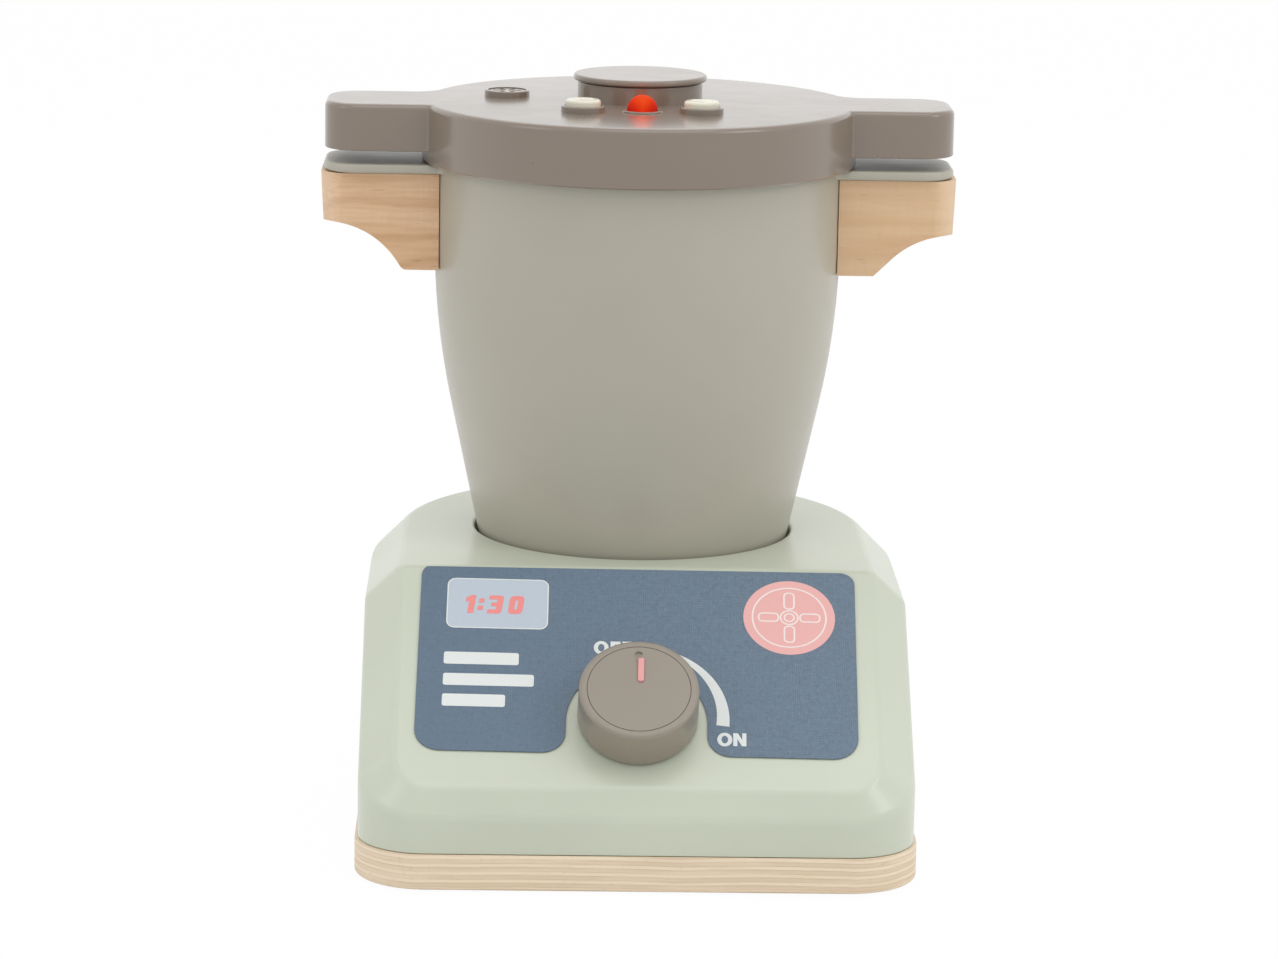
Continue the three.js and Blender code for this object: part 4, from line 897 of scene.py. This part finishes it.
def blade_mark():
    """A ring round four plain blades and a hub, drawn in lines."""
    cx, cy = PINK_AT
    line, long, wide, corner, out = 0.54, 7.2, 3.9, 1.6, 7.0
    loops = [[ellipse(cx, cy, r, r, 96), ellipse(cx, cy, r - line, r - line, 96)] for r in (12.7, 3.2, 1.9)]
    for i in range(4):
        c, s = math.cos(QUARTER * i), math.sin(QUARTER * i)
        rings = [rounded_box(long - trim, wide - trim, corner - trim / 2, out) for trim in (0, 2 * line)]
        loops.append([[(cx + a * c - b * s, cy + a * s + b * c) for a, b in ring] for ring in rings])
    return loops


def label():
    c, s, top = math.cos(LEAN), math.sin(LEAN), KNOB_DROP - 0.75
    outline = [
        (x * c - (y - LABEL_MIDDLE) * s, min(top, LABEL_MIDDLE + x * s + (y - LABEL_MIDDLE) * c))
        for x, y in label_outline()
    ]
    body = slab(outline, FILM_LOW, FILM_TOP, ease_high=0.08, segments=2, place=PANEL)
    piece(body, "control_print", "base", "printed_film", blue_film, "control_label")
    display = boxed(*DISPLAY, DISPLAY_CORNER)
    inner = [edge + sign * DISPLAY_RIM for edge, sign in zip(DISPLAY, (1, 1, -1, -1))]
    glass = boxed(*inner, DISPLAY_CORNER - DISPLAY_RIM)
    back = on_label([display], 0.63)
    marks = [on_label([display, glass], 0.68)]
    marks += [on_label([boxed(*bar, 0.8)]) for bar in TEXT_BARS]
    marks += [on_label(grown(LETTERS[word], x, y, LETTER_HEIGHT, LETTER_WIDTH)) for word, x, y in WORDS]
    marks.append(on_label([sweep_mark()]))
    left, upper, right, lower = DISPLAY
    middle = ((left + right) / 2, (upper + lower) / 2)
    digits = [
        on_label(grown(DIGITS[sign], x, DIGIT_TOP, DIGIT_HEIGHT, slant=DIGIT_SLANT), FINE_PRINT_HIGH, middle)
        for sign, x in READOUT
    ]
    disc = on_label([ellipse(*PINK_AT, PINK_RADIUS, PINK_RADIUS, 96)])
    lines = [on_label(loops, FINE_PRINT_HIGH, PINK_AT) for loops in blade_mark()]
    for obj, name, paint in (
        (back, "display_print", display_print), (joined(marks), "white_marks", white_print),
        (joined(digits), "timer_digits", digit_print), (disc, "pink_disc", pink_print),
        (joined(lines), "blade_mark", ring_print),
    ):
        piece(obj, name, "base", "printed_film", paint)


def knob():
    bore, boss, inside, seat = 4.3, 7, 18.1, 17.2
    low, boss_low, ceiling, seat_low, top = 1.0, 3.0, 10.2, 14.4, 16.0
    body = lathe(eased([
        (0, ceiling), (bore, ceiling), (bore, boss_low, 0.2), (boss, boss_low, 0.2), (boss, ceiling),
        (inside, ceiling, 0.5), (inside, low), (20.1, low, 0.5), (19.9, top, 2.9), (seat, top, 0.12),
        (seat, seat_low), (0, seat_low),
    ], 10), place=PANEL)
    piece(body, "knob_cup", "knob", "taupe_plastic", knob_paint, "knob_body")
    face_low, face_radius = 14.7, 17.02
    face = collar(face_radius, face_low, top, 0.1, steps=160, segments=3, place=PANEL)
    notch_y, notch_radius, notch_depth = 13.6, 1.3, 0.8
    thumb = arc(0, notch_y + 0.3, notch_radius, 0, math.pi, 16)
    notch = slab([*thumb, (-notch_radius, notch_y), (notch_radius, notch_y)], -notch_depth, 2)
    tilt = move(0, notch_y, top) @ spin(math.radians(-26), "X")
    notch.data.transform(PANEL @ tilt @ move(0, -notch_y, notch_depth))
    lean, mark_y = PANEL @ move(0.5, 0) @ spin(math.radians(-1.6), "Z"), 7.5
    slot = slab(rounded_box(2.3, 9.8, 0.95, 0, mark_y), top - 0.8, top + 2, place=lean)
    cut(face, notch, slot)
    piece(face, "knob_cap", "knob", "taupe_plastic", knob_paint, "knob_face")
    mark = slab(rounded_box(2.16, 9.6, 0.85, 0, mark_y), 15.5, 16.7, ease_high=0.35, place=lean)
    piece(mark, "knob_mark", "knob", "pink_plastic", pink, "knob_pointer")
    ring = [(17.04, 14.72), (17.18, 14.72), (17.18, 15.7), (17.04, 15.7)]
    piece(lathe(ring, place=PANEL), "knob_seam", "knob", "taupe_plastic", seam)
    sleeve_radius, flange, sleeve_low, flange_low, flange_top = 5.7, 8, -6.1, 0.3, 1.5
    bush = lathe(eased([
        (bore, sleeve_low), (sleeve_radius, sleeve_low, 0.3), (sleeve_radius, flange_low),
        (flange, flange_low, 0.2), (flange, flange_top, 0.3), (bore, flange_top),
    ], 3), steps=64, place=PANEL)
    piece(bush, "bush", "base", "dark_plastic", dark, "knob_bush")


# Pot

AXLE_HOLE, GRIP_PILOT = 3.3, 1.8


def arms_outline(radius, span, depth, corner, front_root, back_root):
    """A pair of arms across a round middle, with rounded ends and hollow roots."""
    def root(size):
        y = depth / 2 + size
        x = math.sqrt((radius + size) ** 2 - y * y)
        return x, y, math.atan2(y, x)

    end_x, end_y = span / 2 - corner, depth / 2 - corner
    bx, by, back_lean = root(back_root)
    fx, fy, front_lean = root(front_root)
    back = [
        *arc(end_x, end_y, corner, 0, QUARTER, 10),
        *arc(bx, by, back_root, 3 * QUARTER, math.pi + back_lean, 12),
    ]
    front = [
        *arc(fx, -fy, front_root, math.pi - front_lean, QUARTER, 6),
        *arc(end_x, -end_y, corner, 3 * QUARTER, TURN, 10),
    ]
    return shifted(back + mirrored(back) + mirrored(front) + front)


def outward(radius, start, end, side, level):
    """A rod along X on one side of the pot's axis."""
    return rod(radius, start, end, steps=32, place=move(0, AXIS, level) @ spin(side * QUARTER, "Y"))


def pot():
    levels = [BOW_LOW + (BOW_TOP - BOW_LOW) * i / 20 for i in range(21)]
    foot, inside, rim = pot_radius(POT_LOW), pot_radius(POT_INSIDE) - WALL, POT_RIM + OVER
    body = lathe(eased([
        (0, POT_LOW), (foot, POT_LOW, 3), *[(pot_radius(z), z) for z in levels], (POT_RADIUS, POT_RIM, 0.8),
        (0, POT_RIM),
    ], 6), MIDDLE, 192)
    ears = arms_outline(POT_RADIUS, EAR_SPAN, depth=39.6, corner=12, front_root=3, back_root=9)
    union(body, slab(ears, EAR_LOW, EAR_TOP, ease_low=1.2, ease_high=1.2))
    hollow = lathe(eased([
        (0, POT_INSIDE), (inside, POT_INSIDE, 3), *[(pot_radius(z) - WALL, z) for z in levels],
        (POT_RADIUS - WALL, rim), (0, rim),
    ], 6), MIDDLE, 192)
    boss_radius, boss_top = 8, POT_INSIDE + 5
    cut(hollow, collar(boss_radius, 70, boss_top, 0.6, MIDDLE))
    holes = [rod(AXLE_HOLE, POT_INSIDE - OVER, boss_top + OVER, MIDDLE, 48)]
    start, end = POT_RADIUS - WALL - OVER, POT_RADIUS + OVER
    holes += [outward(GRIP_PILOT, start, end, side, z) for side in (-1, 1) for z in GRIP_SCREWS]
    cut(body, hollow, *holes)
    piece(body, "pot", "pot", "pot_plastic", pot_paint, "pot_shell", angle=26)


def wooden_grip(side, name, node, wood):
    """A block with a cove for the fingers, rounded at its end and coped to the pot."""
    depth, end_corner, pilot_depth = 34, 8, 12.6
    inner, reach = POT_RADIUS - 17, EAR_SPAN / 2 + 0.9
    below, start, ease = (15.5, math.radians(134), 1.1) if side > 0 else (13.3, math.radians(146), 2.4)
    cove_x, cove_z, cove_radius = EAR_SPAN / 2 - 0.5, GRIP_LOW - below, 30
    ending = math.acos((reach - 1 - cove_x) / cove_radius)
    sweep = arc(cove_x, cove_z, cove_radius, start, ending, 40)
    foot = sweep[0][0] - (sweep[0][1] - GRIP_LOW) * math.tan(math.pi - start)
    profile = eased([
        (inner, GRIP_LOW), (foot, GRIP_LOW, ease), *sweep, (reach, GRIP_TOP), (inner, GRIP_TOP),
    ], 6)
    low, high = GRIP_LOW - OVER, GRIP_TOP + OVER
    body = slab(profile, 0, depth, place=move(0, AXIS + depth / 2) @ spin(QUARTER, "X"))
    ends = slab(shifted(rounded_box(2 * reach, depth, end_corner, steps=12)), low, high)
    boolean(body, [ends], "INTERSECT")
    way = rod(POT_RADIUS + GAP, low, high, MIDDLE, 160)
    hole_from, hole_to = POT_RADIUS - OVER, POT_RADIUS + pilot_depth
    cut(body, way, *[outward(GRIP_PILOT, hole_from, hole_to, 1, z) for z in GRIP_SCREWS])
    at_pilots, cope, tip = 2.4, POT_RADIUS + 0.4, POT_RADIUS + 15

    def outer(p):
        return off_axis(p) > cope if abs(p.y - AXIS) > at_pilots else p.x > tip

    def coped(p):
        return off_axis(p) < cope and abs(p.y - AXIS) > at_pilots

    round_edges(body, 0.9, outer, segments=4, least=24, material=1)
    round_edges(body, 0.35, coped, segments=2, least=24, material=1)
    if side < 0:
        body.data.transform(Matrix.Scale(-1, 4, (1, 0, 0)))
        body.data.flip_normals()
    piece(body, name, "pot", "beech", wood, node, angle=30, arris=beech_arris)


def blade():
    hub_radius, hub_low, hub_top, blade_z, pitch = 8.5, 79.9, 90.9, 85.4, math.radians(24)
    root, tip, length, corner, half_thick = 5.5, 3.5, 40, 3.4, 1.1
    hub = lathe(eased([
        (0, hub_low), (hub_radius, hub_low, 0.5), (hub_radius, hub_top, 1.2), (0, hub_top),
    ]), MIDDLE, 96)
    outline = unique(eased([
        (0, -root), (36.5, -tip, corner), (length, -tip, corner), (length, tip, corner), (36.5, tip),
        (0, root),
    ], 6))
    hang = move(0, AXIS, blade_z)
    places = [hang @ spin(QUARTER * i, "Z") @ spin(pitch, "X") for i in range(4)]
    union(hub, *[slab(outline, -half_thick, half_thick, 0.5, 0.5, 3, place) for place in places])
    cut(hub, rod(AXLE_HOLE, hub_low - 2 * OVER, hub_top + 2 * OVER, MIDDLE, 64))
    piece(hub, "blade", "blade", "taupe_plastic", taupe, "mixing_blade")
    pin, head, pin_low, head_low, head_top = 3, 5, 73.9, 91.2, 93.2
    axle = lathe(eased([
        (0, pin_low), (pin, pin_low, 0.3), (pin, head_low), (head, head_low, 0.2), (head, head_top, 0.9),
        (0, head_top),
    ], 4), MIDDLE, 64)
    piece(axle, "axle", "pot", "steel", steel, "blade_axle")


# Lid

def lid_shell():
    edge, crown_rise, shoulder = 73.75, 1, 2
    crown = [(edge * (1 - i / 24), LID_TOP + crown_rise - (1 - i / 24) ** 2) for i in range(1, 25)]
    foot = eased([(LID_RADIUS - 0.5, LID_LOW), (LID_RADIUS, LID_LOW + 0.5)], 1)
    side = arc(edge, LID_TOP - shoulder, shoulder, 0, QUARTER, 8)
    cover = lathe([(0, LID_LOW), *foot, *side, *crown], MIDDLE, 192)
    arms = arms_outline(LID_RADIUS, 218.4, depth=39.8, corner=12, front_root=1, back_root=9)
    union(cover, slab(arms, 227.4, LID_TOP, ease_low=0.5, ease_high=2.0, segments=7))
    low, inside, top = LID_LOW - OVER, LID_RADIUS - WALL, LID_TOP + crown_rise
    hollow = rod(inside, low, LID_CEILING, MIDDLE, 160)
    room = slab(shifted(rounded_box(213.4, 34.8, 9.5)), low, LID_CEILING)
    cut(room, rod(LID_RADIUS, low - OVER, top, MIDDLE, 160))
    cut(cover, hollow, room)
    seat = LID_CEILING + OVER
    fittings = [collar(7.5, seat, top + 1.8, 0.5, spot) for spot in BUTTONS]
    fittings += [collar(7, seat, LID_TOP + 1.3, 0.4, LED), collar(7.85, seat, LID_TOP + 2.8, 0.5, OUTLET)]
    union(cover, *fittings, collar(21.7, TRAY_LOW, NECK_TOP, 0.5, MIDDLE, 160))
    union(cover, *[rod(3.7, 216.3, LID_CEILING + GAP, spot, 40) for spot in LID_SCREWS])
    through, above = LID_CEILING - OVER, top + 4
    holes = [rod(6.4, through, above, spot, 96) for spot in BUTTONS]
    holes += [
        rod(5.5, through, above, LED, 96), rod(6.65, LID_TOP + 0.9, above, OUTLET, 96),
        rod(5.45, through, above, OUTLET, 96), rod(19.5, TRAY_LOW - OVER, NECK_TOP + OVER, MIDDLE, 160),
    ]
    holes += [rod(1.5, TRAY_LOW, 226, spot, 32) for spot in LID_SCREWS]
    cut(cover, *holes)
    piece(cover, "lid", "lid", "taupe_plastic", taupe, "lid_shell", angle=26)


def lid_tray():
    """The tray that closes the lid, with the battery box and its door."""
    box_y, below, through = AXIS + 39.45, TRAY_LOW - OVER, TRAY_LOW + 2
    plug, rim, inside, rim_low, top = 68.1, 72.9, 66.1, 229.2, 231.2
    body = lathe(eased([
        (0, TRAY_LOW), (plug, TRAY_LOW, 0.8), (plug, rim_low, 0.3), (rim, rim_low, 0.3), (rim, top, 0.3),
        (inside, top, 0.3), (inside, through, 0.5), (0, through),
    ], 4), MIDDLE, 160)
    ear, tongue_x = (28.6, box_y), 24.1

    def box(width, depth, corner, x=0, steps=2):
        return shifted(rounded_box(width, depth, corner, steps=steps), x, box_y)

    union(body, slab(box(51.0, 25.5, 0.4), TRAY_LOW, 226), rod(5.9, TRAY_LOW, 222, ear, 48))
    holes = [
        slab(box(48.2, 22.7, 0.3), below, 227), rod(4.5, below, through, ear, 48),
        slab(box(9, 9, 0.2, tongue_x), below, through), rod(1.4, below, 220.3, ear, 32),
        rod(22.0, below, through + OVER, MIDDLE, 128),
    ]
    holes += [rod(1.5, below, through + OVER, spot, 32) for spot in LID_SCREWS]
    cut(body, *holes)
    piece(body, "lid_tray", "lid", "taupe_plastic", taupe, "lid_base", angle=28)
    door_top = 215.7
    door = slab(box(47.6, 22.1, 0.5, steps=3), TRAY_LOW, door_top, ease_low=0.3)
    tongue = slab(box(9, 8.4, 0.5, tongue_x), TRAY_LOW, door_top, ease_low=0.3)
    union(door, tongue, rod(4.2, TRAY_LOW, door_top, ear, 64))
    cut(door, rod(1.4, below, through + OVER, ear, 32))
    piece(door, "battery_cover", "lid", "taupe_plastic", taupe, "battery_door")


def button(node, spot):
    stem, shaft, flange, cap_radius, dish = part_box(node)[0].z / MM, 2, 7.2, 6.1, 3.9
    flange_low, flange_top, top = 239.9, 240.9, 248.6
    body = lathe(eased([
        (0, stem), (shaft, stem, 0.3), (shaft, flange_low), (flange, flange_low, 0.2),
        (flange, flange_top, 0.2), (cap_radius, flange_top), (cap_radius, top, 1.1), (dish, top, 0.3),
        (dish - 0.5, top - 0.3, 0.4), (0, top - 0.4),
    ], 6), spot, 96)
    piece(body, node + "_cap", node, "white_plastic", white, node)


def red_light():
    radius, inside, flange, centre, flange_low, flange_top = 5.2, 3.6, 6.6, LID_TOP + 1.3, 239.9, 240.9
    dome = arc(0, centre, radius, 0, QUARTER, 12)
    under = arc(0, centre, inside, QUARTER, 0, 12)
    lens = lathe([
        *under, (inside, flange_low), (flange, flange_low), (flange, flange_top), (radius, flange_top),
        *dome[:-1], (0, centre + radius),
    ], LED, 96)
    piece(lens, "red_light", "lid", "red_lens", red_glow, "led_lens")
    lens.visible_shadow = False
    light = bpy.data.lights.new("lens_light", "POINT")
    light.color = (1.0, 0.09, 0.02)
    light.energy = 0.0014
    light.shadow_soft_size = 0.001
    bulb = add("lens_light", light)
    bulb.location = (0, LED[1] * MM, (LID_TOP + 5.6) * MM)
    bulb.parent = lens


def sound_outlet():
    radius, thick, top, petals = 6.35, 1.3, LID_TOP + 2.5, 6
    grille = collar(radius, top - thick, top, 0.25, OUTLET, segments=3)
    petal, high = rounded_box(3.4, 1.6, 0.75, 3.3, 0, 5), move(*OUTLET, top + 0.3)
    cut(grille, *[slab(petal, -3, 3, place=high @ spin(TURN * i / petals, "Z")) for i in range(petals)])
    piece(grille, "outlet_grille", "lid", "taupe_plastic", taupe, "speaker_grille")


def cap():
    inside, wall, rim = 17.3, 19.1, 23.2
    low, underside, top = 227.2, 251.2, 253.4
    body = lathe(eased([
        (0, underside), (inside, underside), (inside, low, 0.4), (wall, low, 0.4), (wall, underside, 0.2),
        (rim, underside, 0.7), (rim, top, 1.0), (0, top),
    ], 6), MIDDLE, 160)
    piece(body, "cap", "cap", "taupe_plastic", taupe, "measuring_cap")


def finish_node(node, material):
    """Gives a CAD node that stays a material and clean shading."""
    obj = frame["nodes"][node]
    obj.data.materials.clear()
    obj.data.materials.append(material)
    for slot in obj.material_slots:
        slot.material = material
    mod = obj.modifiers.new("edges", "BEVEL")
    mod.width = 0.12 * MM
    mod.segments = 2
    mod.limit_method = "ANGLE"
    mod.angle_limit = math.radians(40)


housing()
well()
base_board()
foot_pads()
label()
knob()
pot()
wooden_grip(-1, "grip_left", "left_grip", beech_left)
wooden_grip(1, "grip_right", "right_grip", beech_right)
blade()
lid_shell()
lid_tray()
for button_node, button_spot in zip(("left_button", "right_button"), BUTTONS):
    button(button_node, button_spot)
red_light()
sound_outlet()
cap()
for number in range(1, 5):
    screw(f"base_screw_{number}", "base", 3.6, 2.4, 1.9)
    screw(f"grip_screw_{number}", "pot", 3.0, 1.6, 1.5, sideways=True)
    screw(f"lid_screw_{number}", "lid", 2.8, 1.8, 1.2)
screw("battery_door_screw", "lid", 2.2, 1.4, 1.1)
for paint_used, node_names in (
    (steel, ("knob_spindle", "spindle_clip", "detent_spring", "detent_spring_screw")),
    (steel, ("board_screw_1", "board_screw_2")),
    (white, ("detent_wheel",)), (sleeve, ("battery_1", "battery_2")), (board_green, ("circuit_board",)),
    (nickel, ("battery_contact_1", "battery_contact_2", "battery_contact_3")),
    (dark, ("left_switch", "right_switch", "speaker")), (red_glow, ("led_body",)),
    (black_wire, ("battery_lead_1", "speaker_lead_1")), (red_wire, ("battery_lead_2", "speaker_lead_2")),
):
    for node_name in node_names:
        finish_node(node_name, paint_used)


# Stage, light and camera

ROOM_FRONT, ROOM_BACK = 0.72, 1.0


def seen(paint, shade):
    """How far a ray of the camera, gloss or glass sees plain white, and not the light that falls there."""
    rays = paint.node("ShaderNodeLightPath").outputs
    direct = paint.math("MAXIMUM", rays["Is Camera Ray"], rays["Is Glossy Ray"])
    return paint.math("MULTIPLY", paint.math("MAXIMUM", direct, rays["Is Transmission Ray"]), shade)


def blend(paint, factor, first, second, end):
    """Links a mix of two shaders to an output."""
    mix = paint.node("ShaderNodeMixShader")
    paint.feed(mix.inputs, (factor, first.outputs[0], second.outputs[0]))
    paint.link(mix.outputs[0], end.inputs["Surface"])


def white_stage(name, shade):
    """A matt white, with the object's shadow kept faint."""
    paint = Paint(name, 1.0)
    paint.tree.nodes.remove(paint.shader)
    matt = paint.node("ShaderNodeBsdfDiffuse", Color=linear((238, 238, 238)))
    glow = paint.node("ShaderNodeEmission", Color=(1, 1, 1, 1), Strength=1.0)
    blend(paint, seen(paint, shade), matt, glow, paint.out)
    return paint.material


def floor():
    size = 6000
    corners = [(a * size, b * size, 0) for a, b in ((-1, -1), (1, -1), (1, 1), (-1, 1))]
    obj = raw("floor", corners, [(0, 1, 2, 3)])
    obj.data.materials.append(white_stage("floor_white", 0.97))


def lamp(name, at, aim_z, size, power):
    light = bpy.data.lights.new(name, "AREA")
    light.shape = "RECTANGLE"
    light.size, light.size_y = size
    light.energy = power
    obj = add(name, light)
    obj.location = at
    obj.rotation_euler = (Vector((0, 0, aim_z)) - Vector(at)).to_track_quat("-Z", "Y").to_euler()


def world():
    """White all round, while the light that it gives is dimmer toward the front."""
    sky = bpy.data.worlds.new("studio")
    sky.use_nodes = True
    nodes = Nodes(sky.node_tree)
    direction = nodes.axes(nodes.node("ShaderNodeTexCoord").outputs["Generated"])["Y"]
    room, plain = (nodes.node("ShaderNodeBackground", Color=(1, 1, 1, 1), Strength=1.0) for _ in range(2))
    nodes.link(nodes.span(direction, -0.95, 0.25, ROOM_FRONT, ROOM_BACK), room.inputs["Strength"])
    blend(nodes, seen(nodes, 1.0), room, plain, nodes.node("ShaderNodeOutputWorld"))
    bpy.context.scene.world = sky


def camera():
    """The camera that was fitted to the photograph."""
    data = bpy.data.cameras.new("camera")
    data.lens = 125.66
    data.sensor_width = 36
    data.sensor_fit = "HORIZONTAL"
    data.clip_start, data.clip_end = 0.05, 50
    obj = add("camera", data)
    yaw, pitch, roll = (math.radians(a) for a in (1.528, 11.953, 1.044))
    pose = spin(-yaw, "Z") @ spin(QUARTER - pitch, "X") @ spin(roll, "Z")
    obj.matrix_world = move(-39.2, -1522.25, 436.7) @ pose
    bpy.context.scene.camera = obj


bpy.context.scene.view_settings.view_transform = "Standard"
floor()
world()
lamp("key_left", (-1.2, -0.65, 0.9), 0.13, (0.5, 0.7), 1.2)
lamp("key_right", (0.9, -0.55, 0.8), 0.13, (0.4, 0.5), 1.7)
lamp("key_top", (0, 0.9, 1.25), 0.13, (1.0, 0.6), 1.85)
lamp("key_front", (0.1, -0.5, 1.5), 0.15, (1.2, 0.7), 3.7)
camera()
